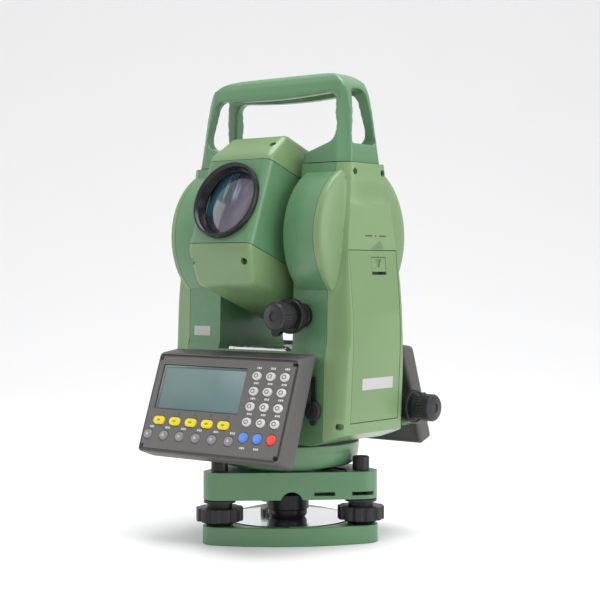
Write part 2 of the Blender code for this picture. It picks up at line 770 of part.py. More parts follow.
def front_display():
    """The front case with its window and 26 keys, each in its own pocket."""
    case = display_housing("front_display_housing", FRONT_PANEL, -1, FRONT_CASE)
    layout = key_layout()
    pockets = [(*at, 0, ROUND_KEY + GAP) for _, _, at, is_oval in layout if not is_oval]
    cut(case, cylinders(pockets, 2 * KEY_POCKET, 12))
    bar = oval(OVAL_KEY[0] + GAP, OVAL_KEY[1] + GAP)
    for _, _, at, is_oval in layout:
        if is_oval:
            cut(case, extruded(bar, 2 * KEY_POCKET), (*at, 0))
    width, height = WINDOW_SIZE
    x, y = WINDOW_PLACE
    place("front_display_window", block((width, height, 0.0015), (x, y, -0.0010)), SCREEN, FRONT_PANEL)
    tall = KEY_HEIGHT + KEY_DEPTH
    middle = (KEY_HEIGHT - KEY_DEPTH) / 2
    for name, paint_name, at, is_oval in layout:
        mesh = extruded(oval(*OVAL_KEY), tall) if is_oval else cylinders([(0, 0, 0, ROUND_KEY)], tall, 12)
        place(name, mesh, KEY_PAINTS[paint_name], FRONT_PANEL, (*at, middle))


def rear_display():
    display_housing("rear_display_housing", REAR_PANEL, 1, REAR_CASE)


def port_cap():
    """The rubber dust cap of the data port, with its pull tab and the strap that keeps it."""
    face = -depth_at(0.0890) - GAP
    x, z = 0.0588, 0.1000
    cap = place(
        "port_cap",
        cylinders([(0, 0, 0, 0.0068)], 0.0045, SMALL_STEPS),
        RUBBER,
        TURN,
        (x, face - 0.00225, z),
        ALONG_MINUS_Y,
    )
    strap = between((x - 0.0020, face - 0.0015, z), (x + 0.0020, face, z + 0.0245))
    tab = between((x - 0.0022, face - 0.0030, z - 0.0105), (x + 0.0022, face - 0.0005, z))
    for mesh in (strap, tab):
        join(cap, mesh)
    soften(cap, 0.0005, 1)


def drive(name, location, rotation, start, lever):
    """A clamp ring with its lever on a sleeve, and the fine-motion knob beyond it. Both turn about one axis."""
    sleeve = 0.0088
    ring_low, ring_high = start + 0.0110, start + 0.0165
    profile = [
        (0, ring_high),
        (CLAMP_RADIUS - 0.0006, ring_high),
        (CLAMP_RADIUS, ring_high - 0.0006),
        (CLAMP_RADIUS, ring_low + 0.0006),
        (CLAMP_RADIUS - 0.0006, ring_low),
        (sleeve, ring_low),
        (sleeve, start),
        (0, start),
    ]
    clamp = turn_piece(f"{name}_clamp", profile, BLACK, TURN, location, rotation)
    length, angle = lever
    arm = between((0, -0.0030, ring_low), (length, 0.0030, ring_high - 0.0004))
    turned_arm = Matrix.Rotation(angle, 4, "Z")
    arm.transform(turned_arm)
    join(clamp, arm, location, rotation)
    knob_low = ring_high + GAP
    knob_high = knob_low + 0.0165
    profile = [
        (0, knob_high),
        (TANGENT_RADIUS - 0.0012, knob_high),
        (TANGENT_RADIUS, knob_high - 0.0012),
        (TANGENT_RADIUS, knob_low + 0.0060),
        (0.0085, knob_low + 0.0045),
        (0.0085, knob_low),
        (0, knob_low),
    ]
    turn_piece(f"{name}_tangent_knob", profile, BLACK, TURN, location, rotation)


def drives():
    x, z = VERTICAL_DRIVE
    drive("vertical", (x, -0.0370, z), ALONG_MINUS_Y, GAP, (0.0210, math.radians(222)))
    y, z = HORIZONTAL_DRIVE
    drive("horizontal", (SEAM_X, y, z), ALONG_X, GAP, (0.0170, math.radians(120)))


def tubular_level():
    """The plate level: a glass vial in a steel tube with round ends, sunk in a trough of the floor."""
    radius, half = 0.0042, 0.0280
    profile = [(0, half), (radius - 0.001, half), (radius, half - 0.001)]
    profile += [(radius, -half + 0.001), (radius - 0.001, -half), (0, -half)]
    turn_piece("tubular_level", profile, STEEL, TURN, LEVEL_PLACE, ALONG_X, steps=SMALL_STEPS)


def telescope_side(points):
    """A mesh as wide as the telescope, from an outline of (forward, up) points in the telescope's frame."""
    mesh = extruded(points, 2 * TELESCOPE_HALF_WIDTH)
    # forward becomes -Y, up becomes Z and the thickness runs along X
    mesh.transform(Matrix(((0, 0, -1, 0), (-1, 0, 0, 0), (0, 1, 0, 0), (0, 0, 0, 1))))
    return mesh


def telescope_body():
    split = TELESCOPE_SPLIT - GAP
    outline = [(TELESCOPE_BACK, -split), (TELESCOPE_FRONT, -split), (TELESCOPE_FRONT, split), (TELESCOPE_BACK, split)]
    body = place("telescope_body", telescope_side(outline), SAGE, TILT)
    soften(body, 0.0012, 1)
    bore = cylinders([(0, 0, 0, OBJECTIVE_BORE + GAP)], 0.030, FINE_STEPS)
    cut(body, bore, (0, -TELESCOPE_FRONT, 0), ALONG_MINUS_Y)
    cut(body, cylinders([(0, 0, 0, AXLE_RADIUS + GAP)], 0.10), (0, 0, 0), ALONG_X)
    cut(body, cylinders([(0, 0, 0, 0.0120)], 0.024, ROUND_STEPS), (0, -TELESCOPE_BACK, 0), ALONG_MINUS_Y)


def telescope_cover(name, side):
    """The upper or lower cover, with sloped front and back and its flat roof parallel to the line of sight."""
    front, back = TELESCOPE_FRONT, TELESCOPE_BACK
    low = TELESCOPE_SPLIT
    outline = [(front, low), (front - 0.0168, TELESCOPE_ROOF), (back + 0.0200, TELESCOPE_ROOF), (back, low)]
    outline = [(forward, side * up) for forward, up in outline]
    cover = place(name, telescope_side(outline), LEAF, TILT)
    soften(cover, 0.0012, 1)
    if side > 0:
        sight = between((-0.0035, -0.0330, TELESCOPE_ROOF - 0.001), (0.0035, -0.0130, TELESCOPE_ROOF + 0.0032))
        join(cover, sight)


def objective():
    """The black ring around the objective, and the lens inside it."""
    inner = LENS_RADIUS + GAP
    front = TELESCOPE_FRONT + 0.0042
    profile = [
        (OBJECTIVE_RING - 0.001, front),
        (OBJECTIVE_RING, front - 0.001),
        (OBJECTIVE_RING, TELESCOPE_FRONT + GAP),
        (OBJECTIVE_BORE, TELESCOPE_FRONT + GAP),
        (OBJECTIVE_BORE, TELESCOPE_FRONT - 0.0120),
        (inner, TELESCOPE_FRONT - 0.0120),
        (inner + 0.0002, front),
    ]
    turn_piece("objective_ring", profile, BLACK, TILT, rotation=ALONG_MINUS_Y, steps=FINE_STEPS)
    rim = TELESCOPE_FRONT - 0.0060
    bulge = 0.0022
    profile = [(0, rim + bulge)]
    profile += [(LENS_RADIUS * i / 4, rim + bulge * (1 - (i / 4) ** 2)) for i in (1, 2, 3, 4)]
    profile += [(LENS_RADIUS, rim - 0.0040), (0, rim - 0.0040)]
    turn_piece("objective_lens", profile, GLASS, TILT, rotation=ALONG_MINUS_Y, steps=FINE_STEPS)


def eyepiece_end():
    """The ribbed focus ring and the eyepiece that screws in and out behind it."""
    back = TELESCOPE_BACK
    profile = [
        (0.0250, back - GAP),
        (0.0250, back - 0.0130),
        (0.0230, back - 0.0150),
        (0.0125, back - 0.0150),
        (0.0125, back - GAP),
    ]
    turn_piece("focus_ring", profile, BLACK, TILT, rotation=ALONG_MINUS_Y, steps=FINE_STEPS)
    tail = back - 0.0290
    profile = [
        (0, back + 0.0110),
        (0.0115, back + 0.0110),
        (0.0115, back - 0.0153),
        (0.0150, back - 0.0153),
        (0.0150, tail + 0.0020),
        (0.0130, tail),
        (0.0080, tail),
        (0.0060, tail + 0.0015),
        (0, tail + 0.0015),
    ]
    turn_piece("eyepiece", profile, BLACK, TILT, rotation=ALONG_MINUS_Y)


def trunnion():
    """The telescope's axle, and the glass vertical circle on its left end."""
    profile = [(0, SEAM_X - 0.001), (AXLE_RADIUS, SEAM_X - 0.001), (AXLE_RADIUS, 0.001 - SEAM_X), (0, 0.001 - SEAM_X)]
    turn_piece("trunnion_axle", profile, STEEL, TILT, rotation=ALONG_X, steps=SMALL_STEPS)
    left, right = -0.0620, -0.0600
    inner = AXLE_RADIUS + GAP
    hub_left, hub_right = -0.0640, -0.0580
    profile = [
        (0.0110, hub_right),
        (0.0110, right),
        (CIRCLE_RADIUS - 0.003, right),
        (CIRCLE_RADIUS - 0.003, left),
        (0.0110, left),
        (0.0110, hub_left),
        (inner, hub_left),
        (inner, hub_right),
    ]
    turn_piece("vertical_circle", profile, GLASS, TILT, rotation=ALONG_X, steps=FINE_STEPS)


base_plate()
spring_plate()
foot_screws()
tribrach_body()
circular_bubble()
azimuth_base()
horizontal_circle()
vertical_spindle()
alidade_frame()
side_covers()
battery_pack()
battery_latch()
carry_handle()
front_display()
rear_display()
port_cap()
drives()
tubular_level()
telescope_body()
telescope_cover("telescope_top_cover", 1)
telescope_cover("telescope_bottom_cover", -1)
objective()
eyepiece_end()
trunnion()
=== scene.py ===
import math

import bmesh
import bpy
from mathutils import Matrix, Vector


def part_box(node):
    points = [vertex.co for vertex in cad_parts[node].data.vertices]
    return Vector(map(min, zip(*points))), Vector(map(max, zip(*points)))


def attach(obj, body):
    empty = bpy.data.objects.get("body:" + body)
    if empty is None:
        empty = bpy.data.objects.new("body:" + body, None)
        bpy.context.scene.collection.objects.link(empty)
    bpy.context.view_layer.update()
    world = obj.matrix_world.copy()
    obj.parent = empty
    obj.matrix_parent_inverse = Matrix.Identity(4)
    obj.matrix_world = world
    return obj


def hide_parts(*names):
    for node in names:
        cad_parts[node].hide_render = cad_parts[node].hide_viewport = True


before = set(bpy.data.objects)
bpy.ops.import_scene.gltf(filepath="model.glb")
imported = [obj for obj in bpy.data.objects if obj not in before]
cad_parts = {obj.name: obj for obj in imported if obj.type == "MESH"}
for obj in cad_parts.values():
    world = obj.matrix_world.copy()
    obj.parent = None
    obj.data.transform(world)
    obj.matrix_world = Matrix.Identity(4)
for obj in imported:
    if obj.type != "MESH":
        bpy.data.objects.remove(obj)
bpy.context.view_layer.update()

# ---------------------------------------------------------------- view, floor and light
# The instrument stands on a plain white table in a white tent. The light is broad and soft: a large
# panel overhead, a weaker one at each side, and the white surroundings.
low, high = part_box("azimuth_base")
AXIS = Vector(((low[0] + high[0]) / 2, 0, 0))
TO_CAMERA = math.radians(39.17)
CAMERA_DISTANCE = 1.11609
CAMERA_HEIGHT = 0.19914
CAMERA_PITCH = math.radians(1.14)
CAMERA_YAW = math.radians(-0.48)

camera = bpy.data.objects.new("camera", bpy.data.cameras.new("camera"))
bpy.context.scene.collection.objects.link(camera)
bpy.context.scene.camera = camera
camera.data.sensor_width = 36
camera.data.lens = 89.01
camera.location = AXIS + Vector(
    (CAMERA_DISTANCE * math.sin(TO_CAMERA), -CAMERA_DISTANCE * math.cos(TO_CAMERA), CAMERA_HEIGHT)
)
heading = TO_CAMERA + CAMERA_YAW
sight_line = Vector(
    (
        -math.sin(heading) * math.cos(CAMERA_PITCH),
        math.cos(heading) * math.cos(CAMERA_PITCH),
        -math.sin(CAMERA_PITCH),
    )
)
camera.rotation_euler = sight_line.to_track_quat("-Z", "Y").to_euler()

scene_look = bpy.context.scene.view_settings
scene_look.view_transform = "Standard"

world = bpy.data.worlds.new("white_tent")
bpy.context.scene.world = world
world.use_nodes = True
world.node_tree.nodes["Background"].inputs["Color"].default_value = (0.96, 0.96, 0.965, 1)
world.node_tree.nodes["Background"].inputs["Strength"].default_value = 0.90


def soft_light(name, size, power, place, aim):
    light = bpy.data.objects.new(name, bpy.data.lights.new(name, "AREA"))
    light.data.shape = "RECTANGLE"
    light.data.size, light.data.size_y = size
    light.data.energy = power
    light.location = place
    light.rotation_euler = (Vector(aim) - Vector(place)).to_track_quat("-Z", "Y").to_euler()
    bpy.context.scene.collection.objects.link(light)


soft_light("overhead_panel", (1.2, 0.9), 17, (0.15, 0.10, 1.35), (0, 0, 0.15))
soft_light("right_panel", (0.8, 1.1), 7, (1.35, 0.25, 0.55), (0, 0, 0.18))
soft_light("left_panel", (0.5, 0.9), 2.2, (-1.25, -0.75, 0.5), (0, 0, 0.18))


class Socket:
    """An output socket of a finish, so that maths on it reads as Python."""

    def __init__(self, finish, link):
        self.finish, self.link = finish, link

    def maths(self, operation, *values):
        return self.finish.node("ShaderNodeMath", {"operation": operation}, *values)

    def __add__(self, other):
        return self.maths("ADD", self, other)

    def __sub__(self, other):
        return self.maths("SUBTRACT", self, other)

    def __rsub__(self, other):
        return self.maths("SUBTRACT", other, self)

    def __mul__(self, other):
        return self.maths("MULTIPLY", self, other)

    def __pow__(self, other):
        return self.maths("POWER", self, other)

    def __rpow__(self, other):
        return self.maths("POWER", other, self)

    __radd__, __rmul__ = __add__, __mul__


class Finish:
    """A material whose nodes are added one by one."""

    def __init__(self, name, **fixed):
        self.material = bpy.data.materials.new(name)
        self.material.use_nodes = True
        self.tree = self.material.node_tree
        self.shader = self.tree.nodes["Principled BSDF"]
        self.set(**fixed)

    def node(self, kind, settings=None, *values, output=0, **named):
        """A node of this kind: its settings first, then its sockets by place or by name."""
        made = self.tree.nodes.new(kind)
        for key, value in (settings or {}).items():
            if key == "stops":
                ramp = made.color_ramp.elements
                while len(ramp) < len(value):
                    ramp.new(0.5)
                for element, (position, colour) in zip(ramp, value):
                    element.position, element.color = position, (*colour, 1)
            else:
                setattr(made, key, value)
        for key, value in [*enumerate(values), *named.items()]:
            self.fill(made.inputs[key], value)
        return Socket(self, made.outputs[output])

    def fill(self, socket, value):
        if isinstance(value, Socket):
            self.tree.links.new(value.link, socket)
        elif isinstance(value, tuple) and len(value) == 3 and len(socket.default_value) == 4:
            socket.default_value = (*value, 1)
        else:
            socket.default_value = value

    def set(self, **named):
        """Fills the shader's sockets: Base_Color stands for "Base Color"."""
        for key, value in named.items():
            self.fill(self.shader.inputs[key.replace("_", " ")], value)

    def place(self):
        return self.node("ShaderNodeTexCoord", output="Object")

    def noise(self, scale, detail=3.0, rough=0.55, at=None):
        named = {"Vector": at or self.place(), "Scale": scale, "Detail": detail, "Roughness": rough}
        return self.node("ShaderNodeTexNoise", None, **named)

    def blend(self, share, first, second, kind="MIX"):
        """Two colours mixed by a share."""
        settings = {"data_type": "RGBA", "blend_type": kind}
        made = self.node("ShaderNodeMix", settings, output=2)
        inputs = made.link.node.inputs
        for socket, value in ((inputs[0], share), (inputs[6], first), (inputs[7], second)):
            self.fill(socket, value)
        return made

    def ramp(self, share, *stops):
        return self.node("ShaderNodeValToRGB", {"stops": stops}, share)

    def relief(self, height, depth, strength=1.0, below=None):
        """Bumps of this depth in metres where height goes from 0 to 1."""
        named = {"Height": height, "Distance": depth, "Strength": strength}
        if below:
            named["Normal"] = below
        return self.node("ShaderNodeBump", None, **named)


def table_finish():
    white = Finish("white_table", Roughness=0.55)
    cloud = white.noise(3.0)
    white.set(Base_Color=white.blend(cloud, (0.865, 0.865, 0.87), (0.89, 0.89, 0.895)))
    return white.material


def paper_sweep():
    """One sheet: the table top, and a wide curve that carries it up behind the instrument."""
    near, start, radius, top, half = -6.0, 1.1, 1.6, 6.0, 7.0
    steps = 24
    line = [(near, 0.0), (start, 0.0)]
    for i in range(1, steps + 1):
        turn = math.pi / 2 * i / steps
        line.append((start + radius * math.sin(turn), radius * (1 - math.cos(turn))))
    line.append((start + radius, top))
    away = Vector((-math.sin(TO_CAMERA), math.cos(TO_CAMERA), 0))
    along = Vector((away.y, -away.x, 0))
    verts = [away * d + along * w + Vector((0, 0, z)) for d, z in line for w in (-half, half)]
    faces = [(2 * i, 2 * i + 1, 2 * i + 3, 2 * i + 2) for i in range(len(line) - 1)]
    sheet = bpy.data.meshes.new("paper_sweep")
    sheet.from_pydata([tuple(v) for v in verts], [], faces)
    sheet.shade_smooth()
    sheet.materials.append(table_finish())
    made = bpy.data.objects.new("paper_sweep", sheet)
    bpy.context.scene.collection.objects.link(made)


paper_sweep()

# ---------------------------------------------------------------- base plate and spring plate
# The base is a painted aluminium casting with bulged sides. A polished spring plate is let into its
# top, held by the black hub that carries the body above.


def arc(centre, radius, start, end, steps):
    """Points on an arc between two angles in degrees."""
    angles = [math.radians(start + (end - start) * i / steps) for i in range(steps + 1)]
    return [(centre[0] + radius * math.cos(a), centre[1] + radius * math.sin(a)) for a in angles]


def made_of(verts, faces):
    mesh = bpy.data.meshes.new("made")
    mesh.from_pydata([tuple(v) for v in verts], [], faces)
    shape = bmesh.new()
    shape.from_mesh(mesh)
    bmesh.ops.remove_doubles(shape, verts=shape.verts, dist=1e-6)
    bmesh.ops.recalc_face_normals(shape, faces=shape.faces)
    shape.to_mesh(mesh)
    shape.free()
    return mesh


def prism(outline, bottom, top):
    """An outline in X and Y made solid from one height to another."""
    count = len(outline)
    verts = [(x, y, z) for z in (bottom, top) for x, y in outline]
    faces = [(i, (i + 1) % count, count + (i + 1) % count, count + i) for i in range(count)]
    return made_of(verts, [*faces, tuple(range(count))[::-1], tuple(range(count, 2 * count))])


def loft(sections):
    """A solid through rings of points that all have the same count."""
    count = len(sections[0])
    verts = [point for section in sections for point in section]
    faces = []
    for level in range(len(sections) - 1):
        start = level * count
        for i in range(count):
            after = (i + 1) % count
            faces.append((start + i, start + after, start + count + after, start + count + i))
    last = len(verts) - count
    return made_of(verts, [*faces, tuple(range(count))[::-1], tuple(range(last, last + count))])


def box(low, high):
    xs, ys, zs = zip(low, high)
    return prism([(xs[0], ys[0]), (xs[1], ys[0]), (xs[1], ys[1]), (xs[0], ys[1])], *zs)


def turned(profile, steps=64):
    """A solid turned about Z from (radius, height) points. It is closed on the axis or into a ring."""
    ring = profile[0][0] > 0
    verts = []
    for i in range(steps):
        c, s = math.cos(math.tau * i / steps), math.sin(math.tau * i / steps)
        verts += [(r * c, r * s, z) for r, z in profile]
    count = len(profile)
    faces = []
    for i in range(steps):
        for j in range(count if ring else count - 1):
            a, b = i * count, (i + 1) % steps * count
            k = (j + 1) % count
            corners = [a + j, a + k, b + k, b + j]
            if profile[j][0] == 0:
                corners = [a + j, a + k, b + k]
            elif profile[k][0] == 0:
                corners = [a + j, a + k, b + j]
            faces.append(corners)
    return made_of(verts, faces)


def at(place=(0, 0, 0), turn=0.0, axis="Z"):
    return Matrix.Translation(place) @ Matrix.Rotation(turn, 4, axis)


def moved(mesh, *matrices):
    for matrix in reversed(matrices):
        mesh.transform(matrix)
    return mesh


ALONG_X = Matrix.Rotation(math.pi / 2, 4, "Y")
ALONG_Y = Matrix.Rotation(-math.pi / 2, 4, "X")
ALONG_MINUS_Y = Matrix.Rotation(math.pi / 2, 4, "X")


def piece(name, mesh, finish, body, *nodes, slot=None, bevel=0.0, segments=3, angle=38, smooth=38):
    """A finished piece on a body. It stands for the nodes, and its edges are rounded by bevel."""
    made = bpy.data.objects.new(name, mesh)
    bpy.context.scene.collection.objects.link(made)
    mesh.materials.clear()
    mesh.materials.append(finish)
    mesh.shade_smooth()
    mesh.set_sharp_from_angle(angle=math.radians(smooth))
    if bevel:
        edges = made.modifiers.new("round_edges", "BEVEL")
        edges.width, edges.segments = bevel, segments
        edges.limit_method, edges.angle_limit = "ANGLE", math.radians(angle)
        edges.harden_normals = True
    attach(made, body)
    if nodes:
        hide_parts(*nodes)
    return made


def combined(mesh, operation, *others):
    """The mesh after it is cut by, joined to or limited by each other mesh in turn."""
    holder = bpy.data.objects.new("holder", mesh)
    bpy.context.scene.collection.objects.link(holder)
    tools = []
    for other in others:
        tool = bpy.data.objects.new("tool", other)
        bpy.context.scene.collection.objects.link(tool)
        tools.append(tool)
        modifier = holder.modifiers.new("work", "BOOLEAN")
        modifier.operation, modifier.object = operation, tool
    graph = bpy.context.evaluated_depsgraph_get()
    result = bpy.data.meshes.new_from_object(holder.evaluated_get(graph))
    for used in (holder, *tools):
        bpy.data.objects.remove(used, do_unlink=True)
    return result


def cast_paint(name, colour, peel=0.000022):
    """Sprayed satin paint over a casting: fine orange peel, faint clouding and lighter rubbed edges."""
    paint = Finish(name, Coat_Weight=0.30, Coat_Roughness=0.16, Specular_IOR_Level=0.5)
    cloud = paint.noise(26.0, 4.0)
    grain = paint.noise(2600.0, 2.0)
    shade = paint.blend(cloud, tuple(c * 0.94 for c in colour), tuple(min(1, c * 1.05) for c in colour))
    shade = paint.blend(grain * 0.12, shade, tuple(c * 0.72 for c in colour))
    edge = paint.node("ShaderNodeNewGeometry", output="Pointiness")
    rubbed = paint.node("ShaderNodeMapRange", {"clamp": True}, edge, 0.53, 0.62, 0.0, 1.0)
    scuffs = rubbed * paint.noise(180.0, 4.0) * 0.35
    shade = paint.blend(scuffs, shade, tuple(min(1, c * 1.35 + 0.03) for c in colour))
    paint.set(Base_Color=shade, Roughness=cloud * 0.10 + grain * 0.06 + 0.33)
    paint.set(Normal=paint.relief(paint.noise(1150.0, 2.0, 0.4), peel))
    return paint.material


SAGE = cast_paint("sage_green_paint", (0.078, 0.192, 0.088))

def node_box(node):
    """The corners of a CAD node's box, measured from the turning axis."""
    return [Vector(corner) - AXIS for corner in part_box(node)]


def node_middle(node):
    low, high = node_box(node)
    return (low + high) / 2


screws = [node_middle(f"foot_screw_{number}") for number in (1, 2, 3)]
FIRST_SCREW = math.degrees(math.atan2(screws[0].y, screws[0].x))
SCREW_CIRCLE = math.hypot(screws[0].x, screws[0].y)


def bulged_triangle(lobe, side):
    """A triangle with round corners about the screws. Its sides bulge to this distance from the axis."""
    across = SCREW_CIRCLE * 0.5 - side
    along = SCREW_CIRCLE * math.sin(math.pi / 3)
    big = (across**2 + along**2 - lobe**2) / (-2 * (across + lobe))
    half = math.degrees(math.asin(along / (big - lobe)))
    outline = []
    for i in range(3):
        corner = FIRST_SCREW + 120 * i
        a = math.radians(corner)
        centre = (SCREW_CIRCLE * math.cos(a), SCREW_CIRCLE * math.sin(a))
        outline += arc(centre, lobe, corner - 60 + half, corner + 60 - half, 16)
        a = math.radians(corner + 60)
        back = (-(big - side) * math.cos(a), -(big - side) * math.sin(a))
        outline += arc(back, big, corner + 60 - half, corner + 60 + half, 24)[1:-1]
    return outline


FINE = 96  # sides of a large turned part
CLEAR = 0.0003
CENTRE_HOLE = 0.008


def without(mesh, *tools):
    """The mesh with the shapes of these tools taken out of it."""
    return combined(mesh, "DIFFERENCE", *tools)


def upright(radius, bottom, top, steps=48, centre=(0, 0)):
    return prism(arc(centre, radius, 0, 360 - 360 / steps, steps - 1), bottom, top)


def washer(inner, outer, low, high, steps):
    """A turned ring, or a disc where the inner radius is 0."""
    return turned([(inner, high), (outer, high), (outer, low), (inner, low)], steps)


def base_plate():
    bottom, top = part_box("base_plate")[0][2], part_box("base_plate")[1][2]
    low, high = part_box("spring_plate")
    disc = (high[0] - low[0]) / 2
    plate = prism(bulged_triangle(0.0125, 0.052), bottom, top)
    plate = without(plate, upright(disc + CLEAR, top - 0.0017, top + 0.01, FINE))
    plate = without(plate, upright(CENTRE_HOLE, bottom - 0.01, top + 0.01))
    plate.transform(at(AXIS))
    piece("base_plate_casting", plate, SAGE, "base", "base_plate", slot="sage", bevel=0.0010)


def polished_finish():
    """Polished steel with fine turning marks and a few hair scratches."""
    steel = Finish("polished_steel", Metallic=1.0)
    middle = steel.node("ShaderNodeVectorMath", {"operation": "SUBTRACT"}, steel.place(), tuple(AXIS))
    radius = steel.node("ShaderNodeVectorMath", {"operation": "LENGTH"}, middle, output="Value")
    rings = steel.node("ShaderNodeMath", {"operation": "SINE"}, radius * 9000.0)
    smear = steel.noise(45.0, 4.0)
    steel.set(Base_Color=steel.blend(smear, (0.70, 0.71, 0.72), (0.84, 0.84, 0.85)))
    steel.set(Roughness=smear * 0.10 + 0.05, Normal=steel.relief(rings, 0.0000015))
    return steel.material


STEEL = polished_finish()


def black_finish(name, colour=(0.012, 0.012, 0.015), rough=0.30, grain=0.000012):
    """Moulded black plastic: nearly smooth, a little dusty, with worn greyer edges."""
    black = Finish(name, Specular_IOR_Level=0.28, Coat_Weight=0.06, Coat_Roughness=0.12)
    dust = black.noise(320.0, 5.0, 0.7)
    cloud = black.noise(38.0, 3.0)
    grey = tuple(c * 2.0 + 0.004 for c in colour)
    shade = black.blend(dust ** 3.0 * 0.8, colour, grey)
    edge = black.node("ShaderNodeNewGeometry", output="Pointiness")
    worn = black.node("ShaderNodeMapRange", {"clamp": True}, edge, 0.54, 0.66, 0.0, 0.6)
    black.set(Base_Color=black.blend(worn * dust, shade, (0.06, 0.06, 0.065)))
    black.set(Roughness=cloud * 0.10 + dust * 0.06 + rough)
    black.set(Normal=black.relief(black.noise(1900.0, 2.0), grain))
    return black.material


BLACK = black_finish("satin_black_plastic")


def spring_plate():
    low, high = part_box("spring_plate")
    disc = (high[0] - low[0]) / 2
    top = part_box("base_plate")[1][2] + 0.0004
    hub = 0.0160
    edge = [(disc - 0.0004, top), (disc, top - 0.0004), (disc, low[2])]
    plate = turned([*edge, (CENTRE_HOLE, low[2]), (CENTRE_HOLE, top)], FINE)
    plate.transform(at(AXIS))
    piece("spring_plate_disc", plate, STEEL, "base", "spring_plate", slot="steel")
    waist, foot = hub - 0.0014, top + 0.0001
    profile = [(hub - 0.001, high[2]), (hub, high[2] - 0.001), (hub, top + 0.007), (waist, top + 0.006)]
    profile += [(waist, top + 0.0025), (hub - 0.003, foot), (CENTRE_HOLE, foot), (CENTRE_HOLE, high[2])]
    ring = turned(profile, 64)
    ring.transform(at(AXIS))
    piece("spring_plate_hub", ring, BLACK, "base", slot="black")


base_plate()
spring_plate()

# ---------------------------------------------------------------- foot screws
# Three black moulded knobs with deep grip ribs on steel screws. Each screw's top end is hidden by a
# black adjusting cap that stands on the body.


def foot_screw(number, centre):
    low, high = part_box(f"foot_screw_{number}")
    top = high[2]
    body_low, body_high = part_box("tribrach_body")[0][2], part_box("tribrach_body")[1][2]
    knob_low, knob_high = 0.0168, 0.0262
    outer, groove, ribs = 0.0172, 0.0012, 12
    outline = []
    steps = ribs * 14
    for i in range(steps):
        turn = math.tau * i / steps
        wave = math.cos(ribs * turn)
        radius = outer - groove * (1 - min(1, (wave + 0.75) * 1.4)) * 0.9 if wave < 0.0 else outer
        outline.append((radius * math.cos(turn), radius * math.sin(turn)))
    grip = prism(outline, knob_low, knob_high)
    collar = [(0, body_low - 0.0003), (0.0112, body_low - 0.0003), (0.0118, body_low - 0.0009)]
    collar += [(0.0118, body_low - 0.0026), (0.0092, body_low - 0.0030), (0.0092, knob_high + 0.0004)]
    collar += [(0.0146, knob_high + 0.0002), (0.0155, knob_high - 0.0010)]
    collar += [(0.0155, knob_low + 0.0010), (0.0120, knob_low - 0.0014), (0.0100, low[2] + 0.0004)]
    collar += [(0.0095, low[2]), (0, low[2])]
    middle = turned(collar, 48)
    knob = combined(grip, "UNION", middle)
    knob.transform(at(AXIS + Vector((centre.x, centre.y, 0))))
    body = f"foot_screw_{number}"
    rounding = {"bevel": 0.0006, "segments": 2, "angle": 50}
    piece(f"foot_knob_{number}", knob, BLACK, body, body, slot="black", **rounding)
    cap_radius, crown = 0.0062, 0.0011
    profile = [(0, top), (cap_radius - crown, top), (cap_radius - crown * 0.3, top - crown * 0.3)]
    profile += [(cap_radius, top - crown), (cap_radius, body_high + 0.0003), (0, body_high + 0.0003)]
    cap = turned(profile, 40)
    cap.transform(at(AXIS + Vector((centre.x, centre.y, 0))))
    piece(f"foot_screw_cap_{number}", cap, BLACK, body, slot="black")


for number, centre in enumerate(screws, 1):
    foot_screw(number, centre)

# ---------------------------------------------------------------- levelling body and round bubble
# A painted casting with three lobes. The round bubble's cup is pressed into its top, and slots and a
# half-round cut-out in its wall show the dark inside.
# Near-black with faint mottling: painted shade for the gap between the bowl and the frame.
gap_shade_finish = Finish("painted_gap_shade", Base_Color=(0.008, 0.009, 0.008), Roughness=0.8)
gap_shade_finish.set(Base_Color=gap_shade_finish.blend(gap_shade_finish.noise(400.0), (0.006, 0.007, 0.006), (0.016, 0.018, 0.016)))
GAP_SHADE = gap_shade_finish.material


def bubble_centre():
    """The bubble's middle and radius, a little inside the wall of the casting."""
    low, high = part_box("circular_bubble")
    middle = node_middle("circular_bubble")
    return middle * (1 - 0.0010 / middle.length), (high[0] - low[0]) / 2 - 0.0002


def wall_point(bearing, radius):
    a = math.radians(bearing)
    return Vector((radius * math.cos(a), radius * math.sin(a), 0))


def tribrach_body():
    bottom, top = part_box("tribrach_body")[0][2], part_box("tribrach_body")[1][2]
    body = prism(bulged_triangle(0.0120, 0.0435), bottom, top)
    tools = [upright(0.0043, bottom - 0.01, top + 0.01, 24, (s.x, s.y)) for s in screws]
    tools.append(upright(0.0153, bottom - 0.01, top + 0.01))
    bubble, radius = bubble_centre()
    tools.append(upright(radius - 0.0009, top - 0.006, top + 0.01, 48, (bubble.x, bubble.y)))
    facing = FIRST_SCREW - 60
    notch = moved(upright(0.0083, -0.05, 0.05), at(turn=math.radians(facing)), ALONG_X)
    notch.transform(at(wall_point(facing, 0.062) + Vector((0, 0, bottom - 0.0024))))
    tools.append(notch)
    tools.append(upright(0.030, bottom - 0.01, bottom + 0.012, 64))
    for bearing, half in ((-19, 0.0075), (5, 0.0075)):
        slot_cut = box((-0.008, -half, -0.0013), (0.012, half, 0.0013))
        spot = wall_point(bearing + 2, 0.0475 if bearing < -10 else 0.0600)
        slot_cut.transform(at(spot + Vector((0, 0, bottom + 0.0042)), math.radians(bearing - 14)))
        tools.append(slot_cut)
    body = without(body, *tools)
    body.transform(at(AXIS))
    piece("levelling_body", body, SAGE, "base", "tribrach_body", slot="sage", bevel=0.0013)


